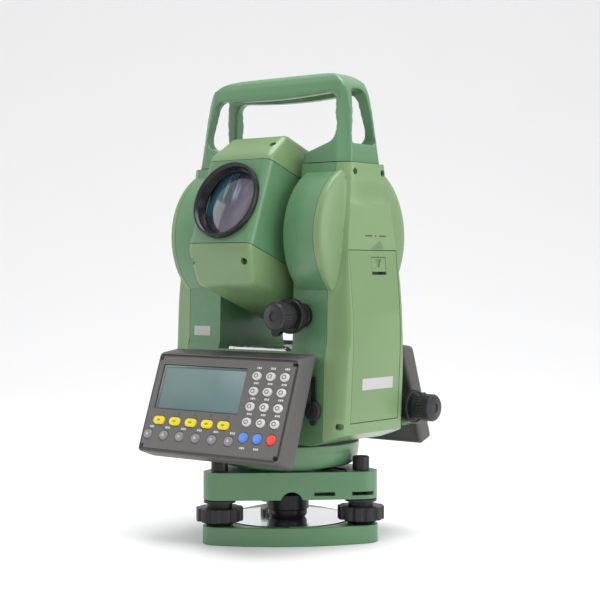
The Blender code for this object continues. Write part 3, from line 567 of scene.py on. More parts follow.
def round_bubble():
    bubble, radius = bubble_centre()
    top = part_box("tribrach_body")[1][2]
    spot = AXIS + Vector((bubble.x, bubble.y, top))
    profile = [(radius - 0.0018, 0.0006), (radius - 0.0012, 0.0011), (radius - 0.0003, 0.0011)]
    profile += [(radius, 0.0007), (radius, 0.0002), (radius - 0.0012, -0.004), (radius - 0.0018, -0.004)]
    rim = turned(profile, 56)
    rim.transform(at(spot))
    piece("round_bubble_rim", rim, BLACK, "base", "circular_bubble", slot="black")
    glass = Finish("bubble_glass", Roughness=0.04, Coat_Weight=0.5, IOR=1.5)
    tint = glass.noise(160.0)
    glass.set(Base_Color=glass.blend(tint, (0.16, 0.20, 0.12), (0.30, 0.34, 0.20)))
    inner = radius - 0.0019
    dome = [(0, 0.0006), (inner * 0.5, 0.0004), (inner, -0.0004), (inner, -0.003), (0, -0.003)]
    lens = turned(dome, 40)
    lens.transform(at(spot))
    piece("round_bubble_glass", lens, glass.material, "base", slot="glass")
    mark = turned([(0.0024, 0.0007), (0.0028, 0.0007), (0.0028, 0.0004), (0.0024, 0.0004)], 32)
    mark.transform(at(spot))
    piece("round_bubble_mark", mark, BLACK, "base", slot="black")


tribrach_body()
round_bubble()

# ---------------------------------------------------------------- lower housing
# A turned and painted bowl between the levelling body and the part that turns. A near-black ring
# above its rim fills the gap under the frame: painted shade.


def lower_housing():
    low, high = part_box("azimuth_base")
    radius = (high[0] - low[0]) / 2
    bottom = 0.0550
    rim = high[2] - 0.0012
    profile = [(radius - 0.0006, rim), (radius, rim - 0.0006), (radius, rim - 0.005)]
    for i in range(9):
        turn = math.radians(90 * i / 8)
        out, up = 0.0076 * math.cos(turn), 0.0120 * math.sin(turn)
        profile.append((radius - 0.0078 + out, bottom + 0.0120 - up))
    profile += [(0.038, bottom), (0.038, low[2]), (0.0155, low[2]), (0.0155, high[2] - 0.008)]
    profile += [(0.0465, high[2] - 0.008), (0.0465, rim)]
    bowl = turned(profile, FINE)
    bowl.transform(at(AXIS))
    piece("lower_housing_bowl", bowl, SAGE, "base", "azimuth_base", slot="sage")
    # A near-black ring in the gap above the bowl's rim: painted shade.
    foot, crest = rim - 0.001, high[2] + 0.0004
    gap_ring = turned([(0.0530, foot), (0.0530, crest), (0.0470, crest), (0.0470, foot)], FINE)
    gap_ring.transform(at(AXIS))
    piece("gap_shade_ring", gap_ring, GAP_SHADE, "base", slot="black")


lower_housing()

# ---------------------------------------------------------------- alidade frame
# One painted casting: the floor, two tapered columns and the round housings about the telescope's
# axle. Its outer sides are closed by moulded covers.
frame_low, frame_high = (Vector(v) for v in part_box("alidade_frame"))
cover_low, cover_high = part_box("side_cover_right")
SEAM_X = cover_low[0] - CLEAR - AXIS.x
FRAME_TOP = frame_high.z
FRAME_BOTTOM = frame_low.z
DRUM_RADIUS = cover_high[1]
TRUNNION_Z = node_middle("trunnion_axle").z
TRUNNION = at((0, 0, TRUNNION_Z))
FLOOR_TOP = 0.1410
WAIST_Z = 0.1880
LEDGE_LOW, LEDGE_HIGH = 0.1390, 0.1460  # the small step in the depth at the floor
DEPTHS = (
    (FRAME_BOTTOM, 0.0424),
    (LEDGE_LOW, 0.0402),
    (LEDGE_HIGH, 0.0372),
    (WAIST_Z, 0.0362),
    (FRAME_TOP, 0.0260),
)


def read(stops, z):
    """A value at a height, on straight lines between (height, value) stops."""
    if z <= stops[0][0]:
        return stops[0][1]
    for (below, before), (above, after) in zip(stops, stops[1:]):
        if z <= above:
            return before + (after - before) * (z - below) / (above - below)
    return stops[-1][1]


def depth_at(z):
    """Half the depth of the standards at a height."""
    return read(DEPTHS, z)


def under_slope(side):
    """The room below the sloped underside at one side."""
    rings = []
    for y in (-0.07, 0.07):
        ring = [(side * x, y, FRAME_BOTTOM + 0.335 * (x - 0.0560)) for x in (0.095, 0.050)]
        rings.append([(side * 0.050, y, 0.060), (side * 0.095, y, 0.060), *ring])
    return loft(rings)


def column(low_x, high_x, levels):
    rings = []
    for z in levels:
        y = depth_at(z)
        rings.append([(low_x, -y, z), (high_x, -y, z), (high_x, y, z), (low_x, y, z)])
    return loft(rings)


def outwards(side):
    """Turns a part that was made along Z to point out to this side."""
    return Matrix.Rotation(side * math.pi / 2, 4, "Y")


def side_drum(side, inner, outer, radius, fillet=0.0018):
    """A round housing about the trunnion axis, rounded at its inner rim."""
    profile = [(0, outer), (radius, outer), (radius, inner + fillet)]
    for degrees in (30, 60, 90):
        a = math.radians(degrees)
        profile.append((radius - fillet + fillet * math.cos(a), inner + fillet - fillet * math.sin(a)))
    return moved(turned([*profile, (0, inner)], FINE), TRUNNION, outwards(side))


def alidade_frame():
    inner_x = 0.0350
    body = column(-SEAM_X, SEAM_X, (FRAME_BOTTOM, LEDGE_LOW, FLOOR_TOP))
    levels = (FLOOR_TOP - 0.01, LEDGE_LOW, LEDGE_HIGH, WAIST_Z, FRAME_TOP)
    for side in (-1, 1):
        ends = sorted((side * inner_x, side * SEAM_X))
        body = combined(body, "UNION", column(*ends, levels))
    for side in (-1, 1):
        body = combined(body, "UNION", side_drum(side, 0.0380, SEAM_X, DRUM_RADIUS))
    body = without(body, box((-0.1, -0.1, FRAME_TOP), (0.1, 0.1, FRAME_TOP + 0.05)))
    flange = upright(0.0548, FRAME_BOTTOM, FRAME_BOTTOM + 0.0044, FINE)
    body = combined(body, "UNION", flange)
    body = without(body, under_slope(-1), under_slope(1))
    lug = box((0.032, 0.030, 0.0800), (SEAM_X, 0.0540, 0.1110))
    toe = box((0.060, depth_at(FRAME_BOTTOM) + 0.001, 0.0838), (0.0745, 0.0522, 0.0885))
    body = combined(body, "UNION", lug, toe)
    battery_low, battery_high = node_box("battery_pack")
    inner = battery_low.x - CLEAR
    room = box(
        (inner, battery_low.y - CLEAR, battery_low.z - CLEAR),
        (0.1, battery_high.y + CLEAR, battery_high.z + CLEAR),
    )
    spindle = upright(0.0153, FRAME_BOTTOM - 0.01, 0.1085)
    axle = moved(upright(0.0073, -0.1, 0.1, 32), TRUNNION, ALONG_X)
    circle_room = moved(upright(0.043, -SEAM_X - 0.01, -SEAM_X + 0.010, 64), TRUNNION, ALONG_X)
    trough = moved(upright(0.0050, -0.029, 0.029, 32), at((0, -0.0325, FLOOR_TOP - 0.0010)), ALONG_X)
    body = without(body, room, spindle, axle, circle_room, trough)
    body.transform(at(AXIS))
    piece("alidade_casting", body, SAGE, "alidade", "alidade_frame", slot="sage", bevel=0.0014, angle=42)


alidade_frame()

# ---------------------------------------------------------------- side covers
# Two moulded covers of a yellower green. Each has a flat panel with full round corners and a dome
# that carries on the round housing of the frame. Dark screws hold them at the corners.


def moulded_green(name, colour):
    """Satin moulded plastic with a fine spark-eroded grain."""
    green = Finish(name, Specular_IOR_Level=0.5, Coat_Weight=0.28, Coat_Roughness=0.22)
    cloud = green.noise(18.0, 4.0)
    speckle = green.noise(3200.0, 2.0)
    shade = green.blend(cloud, tuple(c * 0.95 for c in colour), tuple(c * 1.04 for c in colour))
    shade = green.blend(speckle * 0.10, shade, tuple(c * 0.75 for c in colour))
    edge = green.node("ShaderNodeNewGeometry", output="Pointiness")
    rubbed = green.node("ShaderNodeMapRange", {"clamp": True}, edge, 0.53, 0.62, 0.0, 0.3)
    shade = green.blend(rubbed, shade, tuple(min(1, c * 1.3 + 0.02) for c in colour))
    green.set(Base_Color=shade, Roughness=cloud * 0.08 + speckle * 0.06 + 0.36)
    green.set(Normal=green.relief(green.noise(1700.0, 3.0, 0.5), 0.000020))
    return green.material


LEAF = moulded_green("leaf_green_moulding", (0.132, 0.225, 0.092))


PANEL_X = (
    (FRAME_BOTTOM, 0.0798),
    (0.0920, 0.0806),
    (0.1080, 0.0815),
    (0.1400, 0.0832),
    (0.1600, 0.0833),
    (0.1850, 0.0819),
    (0.2135, 0.0789),
    (FRAME_TOP, 0.0752),
)
PANEL_DEPTH = (
    (FRAME_BOTTOM, 0.0338),
    (0.1390, 0.0336),
    (0.1460, 0.0325),
    (WAIST_Z, 0.0322),
    (0.2135, 0.0308),
    (0.2360, 0.0270),
    (FRAME_TOP, 0.0180),
)


def eased(stops, z):
    """The value at a height with the corners between the straight lines rounded off."""
    window = (-0.012, -0.008, -0.004, 0, 0.004, 0.008, 0.012)
    return sum(read(stops, z + step) for step in window) / len(window)


def panel_x_at(z):
    return eased(PANEL_X, z)


def merged(meshes):
    shape = bmesh.new()
    for mesh in meshes:
        shape.from_mesh(mesh)
    result = bpy.data.meshes.new("merged")
    shape.to_mesh(result)
    shape.free()
    return result


def cover_shell(side):
    """The shell of one cover: its flat panel meets the frame's seam in full round corners."""
    inner, foot = SEAM_X + CLEAR, FRAME_BOTTOM + 0.0005
    sections = []
    steps = 36
    for i in range(steps + 1):
        z = foot + (FRAME_TOP - foot) * i / steps
        y, x, flat = depth_at(z), panel_x_at(z), eased(PANEL_DEPTH, z)
        ring = []
        for t in (0, 0.12, 0.28, 0.45, 0.62, 0.8, 1.0):
            first, second, third = (1 - t) ** 2, 2 * t * (1 - t), t * t
            out = first * inner + second * (x - 0.0016) + third * x
            along = first * y + second * (y - 0.0030) + third * (flat - 0.001)
            ring.append((out, -along))
        ring += [(px, -py) for px, py in reversed(ring)]
        sections.append([(side * px, py, z) for px, py in ring])
    return loft(sections)


def cover_dome(side):
    """The dome that carries on the round housing of the frame."""
    inner, reach, rim = SEAM_X + CLEAR, 0.0088, 0.003
    profile = [(0, inner + reach), (DRUM_RADIUS * 0.5, inner + reach)]
    steps = 14
    for i in range(1, steps + 1):
        turn = math.pi / 2 * (1 - i / steps)
        swell = DRUM_RADIUS * (0.5 + 0.5 * math.cos(turn))
        profile.append((swell, inner + rim + (reach - rim) * math.sin(turn)))
    profile += [(DRUM_RADIUS, inner), (0, inner)]
    return moved(turned(profile, FINE), TRUNNION, outwards(side))


COVER_SCREWS = (
    (-0.0166, 0.2698, 0.0728),
    (0.0166, 0.2698, 0.0728),
    (-0.0372, 0.0892, 0.0750),
    (0.0372, 0.0892, 0.0750),
)


def side_cover(side, name, node):
    shell = combined(cover_shell(side), "UNION", cover_dome(side))
    lid = box((-0.1, -0.1, FRAME_TOP), (0.1, 0.1, FRAME_TOP + 0.05))
    shell = without(shell, lid, under_slope(side))
    if side > 0:
        battery_low, battery_high = node_box("battery_pack")
        room = box(
            (0.050, battery_low.y - 0.0004, battery_low.z - 0.0004),
            (0.100, battery_high.y + 0.0004, battery_high.z + 0.0004),
        )
        shell = without(shell, room)
    head = [(0, 0.0006), (0.0013, 0.0005), (0.0016, 0.0001), (0.0016, -0.0004), (0, -0.0004)]
    heads = []
    for y, z, depth in COVER_SCREWS:
        spot = at((side * depth, y, z)) @ outwards(side)
        shell = without(shell, moved(upright(0.0024, 0, 0.02, 28), spot))
        heads.append(moved(turned(head, 20), spot))
    piece(name + "_screws", moved(merged(heads), at(AXIS)), BLACK, "alidade", slot="black")
    shell.transform(at(AXIS))
    piece(name, shell, LEAF, "alidade", node, slot="leaf", bevel=0.0008, angle=45)


side_cover(-1, "left_cover_moulding", "side_cover_left")
side_cover(1, "right_cover_moulding", "side_cover_right")

# ---------------------------------------------------------------- carrying handle
# One painted casting, bolted on the columns: two pairs of legs lean in and meet in a thick rounded
# grip. All its edges are soft.


def worked(mesh, *steps):
    """The mesh after these modifiers, each a kind and its settings."""
    holder = bpy.data.objects.new("holder", mesh)
    bpy.context.scene.collection.objects.link(holder)
    for kind, settings in steps:
        modifier = holder.modifiers.new("work", kind)
        for key, value in settings.items():
            setattr(modifier, key, value)
    graph = bpy.context.evaluated_depsgraph_get()
    result = bpy.data.meshes.new_from_object(holder.evaluated_get(graph))
    bpy.data.objects.remove(holder, do_unlink=True)
    return result


def rounded(mesh, width, segments, **settings):
    """The mesh with its sharp edges rounded."""
    bevel = {"width": width, "segments": segments, "limit_method": "ANGLE", **settings}
    return worked(mesh, ("BEVEL", bevel))


def softened(mesh, voxel, rounds):
    """The mesh with all its edges and corners melted into each other."""
    grid = ("REMESH", {"mode": "VOXEL", "voxel_size": voxel, "use_smooth_shade": True})
    return worked(mesh, grid, ("SMOOTH", {"factor": 0.5, "iterations": rounds}))


def across(outline, half, turn):
    """An outline in (x, z) made solid along Y, or along X where turn is a quarter."""
    mesh = prism(outline, -half, half)
    return moved(mesh, Matrix.Rotation(turn, 4, "Z"), Matrix.Rotation(math.pi / 2, 4, "X"))


def carry_handle():
    """A block with its opening, its side windows and its outlines cut, then softened."""
    low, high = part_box("carry_handle")
    foot_z, top, grip_under = low[2], high[2], 0.3278
    corners = ((0.0731, 0.0176), (SEAM_X, 0.0260)), ((0.0668, 0.0088), (0.0560, 0.0152))
    sections = []
    for z, ((far, near), (seam, wide)) in zip((foot_z - 0.006, top + 0.004), corners):
        ring = [(far, -near), (far, near), (seam, wide), (-seam, wide)]
        ring += [(-far, near), (-far, -near), (-seam, -wide), (seam, -wide)]
        sections.append([(x, y, z) for x, y in ring])
    handle = loft(sections)
    opening = [(0.0345, 0.2500), (0.0345, 0.2840), (0.0440, 0.2872)]
    opening += arc((0.0505, 0.3010), 0.0115, -55, 0, 8)
    opening += arc((0.0500, grip_under - 0.0085), 0.0085, 5, 80, 8)
    edge, rise, steps = opening[-1][0], 0.0022, 12
    count = len(opening)
    for i in range(1, steps):
        x = edge - 2 * edge * i / steps
        opening.append((x, grip_under - rise + rise * (x / edge) ** 2))
    opening += [(-x, z) for x, z in reversed(opening[:count])]
    handle = without(handle, across(opening, 0.05, 0))
    window = [(-0.0142, 0.2905), (0.0142, 0.2905)]
    window += arc((0.0042, 0.3262), 0.0042, 10, 90, 6) + arc((-0.0042, 0.3262), 0.0042, 90, 170, 6)
    handle = without(handle, across(window, 0.15, math.pi / 2))
    corner = 0.0240
    crown = [(-0.090, 0.250), (0.090, 0.250)]
    crown += arc((0.0682 - corner, top - 0.0010 - corner), corner, 0, 84, 12)
    crown += [(0.0250, top + 0.0002), (0, top + 0.0004)]
    crown += [(-x, z) for x, z in reversed(crown[2:-1])]
    handle = combined(handle, "INTERSECT", across(crown, 0.05, 0))
    barrel = [(-0.0300, 0.2500), (0.0300, 0.2500), (0.0300, 0.2800), (0.0165, 0.3240)]
    barrel += [(0.0160, 0.3300), (0.0142, 0.3360), (0.0110, 0.3405), (0.0065, 0.3432), (0, top + 0.0002)]
    barrel += [(-y, z) for y, z in reversed(barrel[2:-1])]
    handle = combined(handle, "INTERSECT", across(barrel, 0.12, math.pi / 2))
    handle = softened(handle, 0.0010, 9)
    handle = without(handle, box((-0.1, -0.1, foot_z - 0.02), (0.1, 0.1, foot_z + CLEAR)))
    handle.transform(at(AXIS))
    rounding = {"bevel": 0.0003, "segments": 1, "angle": 60}
    piece("handle_casting", handle, SAGE, "alidade", "carry_handle", slot="sage", **rounding)


carry_handle()

# ---------------------------------------------------------------- telescope
# A painted box of aluminium on its axle, with a moulded cover above and below. The covers have a
# narrow band at the seam and sloped, softly rounded faces, and are held by screws in deep holes.
TILT = math.radians(20.2)
ON_TELESCOPE = at(AXIS + Vector((0, 0, TRUNNION_Z))) @ Matrix.Rotation(-TILT, 4, "X")
HALF_WIDTH, TEL_FRONT, TEL_BACK = 0.0294, 0.0724, -0.0500
SPLIT, ROOF = 0.0320, 0.0584
BAND, SLOPE = SPLIT + 0.0036, 0.0165
MOULDING = {"bevel": 0.0003, "segments": 2, "angle": 50}


def forward(points, half):
    """A solid as wide as twice half, from (forward, up) points in the telescope's frame."""
    mesh = prism(points, -half, half)
    mesh.transform(Matrix(((0, 0, -1, 0), (-1, 0, 0, 0), (0, 1, 0, 0), (0, 0, 0, 1))))
    return mesh


def telescope_body():
    split = SPLIT + 0.008
    outline = [(TEL_BACK, -split), (TEL_FRONT, -split), (TEL_FRONT, split), (TEL_BACK, split)]
    body = rounded(forward(outline, HALF_WIDTH), 0.0060, 8)
    body = combined(body, "INTERSECT", box((-0.1, -0.1, -SPLIT + 0.0002), (0.1, 0.1, SPLIT - 0.0002)))
    bore = moved(upright(0.0262, TEL_FRONT - 0.016, TEL_FRONT + 0.02, FINE), ALONG_MINUS_Y)
    rear = moved(upright(0.0120, -TEL_BACK - 0.012, -TEL_BACK + 0.02), ALONG_Y)
    body = without(body, bore, rear, moved(upright(0.0074, -0.05, 0.05, 32), ALONG_X))
    body.transform(ON_TELESCOPE)
    piece("telescope_casting", body, SAGE, "telescope", "telescope_body", slot="sage", **MOULDING)


def telescope_cover(name, side):
    """The moulded cover above or below, with its screw holes in the front face."""
    front, back = TEL_FRONT - CLEAR, TEL_BACK + CLEAR
    rings = []
    for up, slope, narrowing in ((SPLIT - 0.010, 0, 0.0002), (BAND, 0, 0.0002), (ROOF, SLOPE, 0.0030)):
        nose, tail, half = front - slope, back + slope * 1.19, HALF_WIDTH - narrowing
        corners = (-half, -nose), (half, -nose), (half, -tail), (-half, -tail)
        rings.append([(x, y, side * up) for x, y in corners])
    cover = rounded(loft(rings), 0.0048, 7, angle_limit=0.2)
    low, high = sorted((side * (SPLIT + 0.0002), side * 0.1))
    cover = combined(cover, "INTERSECT", box((-0.1, -0.2, low), (0.1, 0.2, high)))
    lean = math.atan2(0.0168, ROOF - BAND)
    facing = Matrix.Rotation(math.pi / 2 - side * lean, 4, "X")
    share = 0.36 if side < 0 else 0.50
    for x in (-0.0262, 0.0232) if side < 0 else (0.0218,):
        middle = (x, SLOPE * share - front, side * (BAND + (ROOF - BAND) * share))
        cover = without(cover, moved(upright(0.0026, -0.006, 0.02, 24), at(middle), facing))
    cover.transform(ON_TELESCOPE)
    node = "telescope_top_cover" if side > 0 else "telescope_bottom_cover"
    piece(name, cover, LEAF, "telescope", node, slot="leaf", **MOULDING)


def sight():
    """The small black collimator on the roof."""
    body = box((-0.0035, -0.0330, ROOF - 0.0005), (0.0035, -0.0130, ROOF + 0.0031))
    body.transform(ON_TELESCOPE)
    piece("roof_sight", body, BLACK, "telescope", slot="black", bevel=0.0009)


telescope_body()
telescope_cover("telescope_cover_upper", 1)
telescope_cover("telescope_cover_lower", -1)
sight()

# ---------------------------------------------------------------- objective
# A glossy black ring round a coated doublet. The coating's teal and mauve reflections are painted
# into the glass's colour, in bands that follow the curved surfaces inside, with pale painted streaks.
GLOSS = black_finish("gloss_black_ring", (0.010, 0.010, 0.013), 0.16, 0.000004)


def glass_with_painted_reflections():
    # Glass whose base colour carries painted reflections: slanted teal and mauve bands and pale streaks.
    glass = Finish("coated_lens_painted_reflections", Roughness=0.10, Coat_Weight=0.6, Coat_Roughness=0.09, IOR=1.5)
    local = glass.node("ShaderNodeMapping", {"vector_type": "TEXTURE"}, glass.place())
    mapping = local.link.node
    mapping.inputs["Location"].default_value = tuple(AXIS + Vector((0, 0, TRUNNION_Z)))
    mapping.inputs["Rotation"].default_value = (-TILT, 0, 0)
    parts = [glass.node("ShaderNodeSeparateXYZ", None, local, output=i) for i in (0, 2)]
    x, z = parts
    reflection_slant = x * 0.86 + z * -0.50
    swirl = glass.node("ShaderNodeTexNoise", None, Vector=local, Scale=38.0, Detail=3.0, Roughness=0.6)
    stretched = glass.node("ShaderNodeMapping", None, local)
    stretched.link.node.inputs["Rotation"].default_value = (0, math.radians(31), 0)
    stretched.link.node.inputs["Scale"].default_value = (210.0, 60.0, 26.0)
    detail = {"Scale": 1.0, "Detail": 4.0, "Roughness": 0.55}
    reflection_streak = glass.node("ShaderNodeTexNoise", None, Vector=stretched, **detail)
    share = reflection_slant * 21.0 + 0.5 + (swirl - 0.5) * 0.45
    # Painted reflections: the ramp lays bands of near-black, teal, mauve and pale across the lens.
    colour = glass.ramp(
        share,
        (0.00, (0.004, 0.006, 0.010)),
        (0.20, (0.020, 0.075, 0.100)),
        (0.38, (0.008, 0.018, 0.032)),
        (0.62, (0.060, 0.050, 0.085)),
        (0.80, (0.150, 0.125, 0.170)),
        (1.00, (0.030, 0.026, 0.036)),
    )
    # Pale streaks over the bands: painted reflections.
    lines = glass.node("ShaderNodeMapRange", {"clamp": True}, reflection_streak, 0.56, 0.74, 0.0, 0.75)
    colour = glass.blend(lines, colour, (0.30, 0.42, 0.50))
    glass.set(Base_Color=colour, Roughness=swirl * 0.08 + 0.07)
    return glass.material


def objective():
    ring, face = 0.02885, TEL_FRONT
    profile = [(ring - 0.0009, face + 0.0042), (ring - 0.0003, face + 0.0039), (ring, face + 0.0032)]
    seat, bottom = face + CLEAR, face - 0.0118
    profile += [(ring, seat), (0.0259, seat), (0.0259, bottom), (0.0238, bottom)]
    for i in range(7):
        depth, step = face - 0.0050 + 0.0012 * i, 0.00022 * i
        profile += [(0.0240 + step, depth), (0.0243 + step, depth + 0.0006)]
    profile += [(0.0262, face + 0.0036), (0.0268, face + 0.0042)]
    barrel = moved(turned(profile, FINE), ON_TELESCOPE, ALONG_MINUS_Y)
    node = "objective_ring"
    piece("objective_retaining_ring", barrel, GLOSS, "telescope", node, slot="black", smooth=25)
    rim, radius, bulge, steps = face - 0.0045, 0.0237, 0.0040, 12
    dome = [(0, rim + bulge)]
    for i in range(1, steps + 1):
        dome.append((radius * i / steps, rim + bulge * (1 - (i / steps) ** 2)))
    dome += [(radius, rim - 0.004), (0, rim - 0.004)]
    lens = moved(turned(dome, FINE), ON_TELESCOPE, ALONG_MINUS_Y)
    piece("objective_doublet", lens, glass_with_painted_reflections(), "telescope", "objective_lens", slot="glass")


objective()

# ---------------------------------------------------------------- focus ring and eyepiece
# Moulded black rings behind the telescope: the focus ring has deep grip ribs, the eyepiece fine ones.


def ribbed(outer, depth, ribs, low, high, steps_per_rib=6):
    """A solid disc or drum whose side is ribbed for the fingers, from low to high along Z."""
    outline = []
    steps = ribs * steps_per_rib
    for i in range(steps):
        wave = 0.5 + 0.5 * math.cos(math.tau * i / steps_per_rib)
        radius = outer - depth * (1 - min(1, wave * 1.8))
        turn = math.tau * i / steps
        outline.append((radius * math.cos(turn), radius * math.sin(turn)))
    return prism(outline, low, high)


def eyepiece_end():
    back = -TEL_BACK
    behind = ON_TELESCOPE @ ALONG_Y
    grip = ribbed(0.0249, 0.0008, 48, back + 0.0018, back + 0.0128)
    foot, top = back + CLEAR, back + 0.0150
    core = turned([(0, top), (0.0226, top), (0.0241, back + 0.0136), (0.0241, foot), (0, foot)], FINE)
    ring = without(combined(grip, "UNION", core), upright(0.0123, back - 0.01, back + 0.03))
    piece("focus_grip", moved(ring, behind), BLACK, "focus_ring", "focus_ring", slot="black")
    ribs = ribbed(0.0150, 0.0006, 36, back + 0.0165, back + 0.0255)
    profile = [(0, -0.0108), (0.0113, -0.0108), (0.0113, 0.0153), (0.0144, 0.0157), (0.0144, 0.0265)]
    profile += [(0.0128, 0.0289), (0.0082, 0.0289), (0.0060, 0.0272), (0, 0.0272)]
    tube = combined(ribs, "UNION", turned([(radius, back + up) for radius, up in profile], 72))
    piece("eyepiece_barrel", moved(tube, behind), BLACK, "eyepiece", "eyepiece", slot="black")
    dome = [(0, 0.0278), (0.0050, 0.0274), (0.0058, 0.0273), (0, 0.0273)]
    glass = turned([(radius, back + up) for radius, up in dome], 40)
    piece("eyepiece_lens", moved(glass, behind), glass_with_painted_reflections(), "eyepiece", slot="glass")


eyepiece_end()

# ---------------------------------------------------------------- displays
# Two moulded grey-brown cases lean against the standards, front and back. Each has a dished window
# over its liquid crystal, dark screws at its corners and a groove where the face meets the shell.
LEAN = math.radians(19.5)
FACE_HALF_WIDTH, FACE_HALF_HEIGHT = 0.0675, 0.0375
WINDOW = (-0.0190, 0.0119, 0.0816, 0.0340)


def panel_frame(side):
    """The frame of a display face: x to the right on the face, y up its slope, z out of it."""
    if side < 0:
        spot = at(AXIS + Vector((-0.0025, -0.0780, 0.1025)))
    else:
        spot = at(AXIS + Vector((0.0025, 0.0780, 0.1065)), math.pi)
    return spot @ Matrix.Rotation(math.pi / 2 - LEAN, 4, "X")


def shell_plastic():
    """Grey-brown plastic with a spark-eroded grain."""
    shell = Finish("grey_brown_moulding", Specular_IOR_Level=0.4)
    cloud = shell.noise(22.0, 4.0)
    grain = shell.noise(2400.0, 3.0, 0.6)
    shade = shell.blend(cloud, (0.072, 0.069, 0.066), (0.086, 0.082, 0.078))
    shade = shell.blend(grain * 0.25, shade, (0.050, 0.048, 0.046))
    edge = shell.node("ShaderNodeNewGeometry", output="Pointiness")
    rubbed = shell.node("ShaderNodeMapRange", {"clamp": True}, edge, 0.53, 0.62, 0.0, 0.35)
    shell.set(Base_Color=shell.blend(rubbed, shade, (0.18, 0.172, 0.162)))
    shell.set(Roughness=cloud * 0.08 + grain * 0.10 + 0.38, Normal=shell.relief(grain, 0.000030))
    return shell.material


SHELL = shell_plastic()


SQUASH = {"white": 0.78, "grey": 0.84, "blue": 0.90, "red": 0.90, "yellow": 1.0}


def flattened(kind):
    """Round keys are a little wider than they are tall."""
    return Matrix.Diagonal((1, SQUASH[kind], 1, 1))


def key_places():
    """Each key's kind, number, place on the face and whether it is oval."""
    columns = [0.0318 + 0.0127 * i for i in range(3)]
    places = []
    for row in range(4):
        for i, x in enumerate(columns):
            places.append(("white", row * 3 + i + 1, (x, 0.0238 - 0.0112 * row), False))
    places += [("yellow", i + 1, (-0.0514 + 0.0157 * i, -0.0137), True) for i in range(5)]
    places += [("grey", i + 1, (-0.0594 + 0.0157 * i, -0.0246), False) for i in range(6)]
    places += [("blue", i + 1, (columns[i], -0.0210), False) for i in range(2)]
    return [*places, ("red", 1, (columns[2], -0.0210), False)]


def rounded_bar(half_length, half_height, steps=12):
    straight = half_length - half_height
    right = arc((straight, 0), half_height, -90, 90, steps)
    return right + arc((-straight, 0), half_height, 90, 270, steps)


def round_box(half_x, half_y, low, high, corner, edge):
    outline = []
    for sx, sy, start in ((1, 1, 0), (-1, 1, 90), (-1, -1, 180), (1, -1, 270)):
        outline += arc((sx * (half_x - corner), sy * (half_y - corner)), corner, start, start + 90, 8)
    return rounded(prism(outline, low, high), edge, 4)


def display_case(name, side, node):
    place = panel_frame(side)
    half_width, half_height = FACE_HALF_WIDTH, FACE_HALF_HEIGHT
    foot, crest, crest_height = (0.0190, 0.0175, 0.0465) if side < 0 else (0.0150, 0.0140, 0.0447)
    outline = [(-half_height, -foot), (crest_height, -crest), (half_height, 0), (-half_height, 0)]
    wedge = prism(outline, -half_width, half_width)
    wedge.transform(Matrix(((0, 0, 1, 0), (1, 0, 0, 0), (0, 1, 0, 0), (0, 0, 0, 1))))
    case = rounded(wedge, 0.0028, 5)
    case = combined(case, "UNION", box((-0.026, -0.008, -0.060), (0.026, 0.026, -foot + 0.006)))
    rings = []
    for z in (0.050, FRAME_BOTTOM, LEDGE_LOW, LEDGE_HIGH, 0.1700):
        face = side * (depth_at(z) + CLEAR)
        rings.append([(-0.09, 0, z), (0.09, 0, z), (0.09, face, z), (-0.09, face, z)])
    case = without(case, moved(loft(rings), place.inverted(), at(AXIS)))
    groove = without(
        round_box(half_width - 0.0008, half_height - 0.0008, -0.0019, 0.01, 0.0040, 0.0001),
        round_box(half_width - 0.0027, half_height - 0.0027, -0.01, 0.02, 0.0036, 0.0001),
    )
    x, y, width, height = WINDOW
    window = round_box(width / 2, height / 2, -0.0024, 0.01, 0.0010, 0.0002)
    case = without(case, groove, moved(window, at((x, y, 0))))
    for screw_x in (-0.0633, 0.0633):
        for screw_y in (-0.0333, 0.0333):
            case = without(case, upright(0.0017, -0.0060, 0.01, 20, (screw_x, screw_y)))
    for kind, _, (x, y), is_oval in key_places():
        if is_oval:
            pocket = prism(rounded_bar(0.0060, 0.0036), -0.0030, 0.01)
        else:
            pocket = upright(0.0046, -0.0030, 0.01, 28)
        case = without(case, moved(pocket, at((x, y, 0)), flattened(kind)))
    case.transform(place)
    piece(name, case, SHELL, "alidade", node, slot="grey_brown", bevel=0.00035, segments=2, angle=42)


def crystal():
    """The liquid crystal behind its pane: cloudy teal with a painted sheen, brighter to one side."""
    screen = Finish("liquid_crystal", Specular_IOR_Level=0.35, Coat_Weight=0.25, Coat_Roughness=0.30)
    local = screen.node("ShaderNodeMapping", {"vector_type": "TEXTURE"}, screen.place())
    local.link.node.inputs["Location"].default_value = tuple(panel_frame(-1).translation)
    local.link.node.inputs["Rotation"].default_value = (math.pi / 2 - LEAN, 0, 0)
    u = screen.node("ShaderNodeSeparateXYZ", None, local, output=0)
    v = screen.node("ShaderNodeSeparateXYZ", None, local, output=1)
    cloud = screen.node("ShaderNodeTexNoise", None, Vector=local, Scale=26.0, Detail=2.0, Roughness=0.5)
    fine = screen.node("ShaderNodeTexNoise", None, Vector=local, Scale=420.0, Detail=3.0, Roughness=0.6)
    # Painted sheen: the colour grows paler and brighter towards the top right of the face.
    share = u * 5.0 + v * 7.0 + 0.45 + (cloud - 0.5) * 0.30
    colour = screen.ramp(
        share,
        (0.10, (0.055, 0.120, 0.115)),
        (0.50, (0.110, 0.190, 0.185)),
        (0.85, (0.270, 0.340, 0.370)),
    )
    rows = screen.node("ShaderNodeMath", {"operation": "SINE"}, v * 9000.0)
    columns = screen.node("ShaderNodeMath", {"operation": "SINE"}, u * 9000.0)
    cells = (rows * columns) * 0.03 + fine * 0.10
    screen.set(Base_Color=screen.blend(cells, colour, (0.05, 0.09, 0.09)))
    screen.set(Roughness=fine * 0.08 + 0.26)
    return screen.material


CRYSTAL_WITH_PAINTED_SHEEN = crystal()


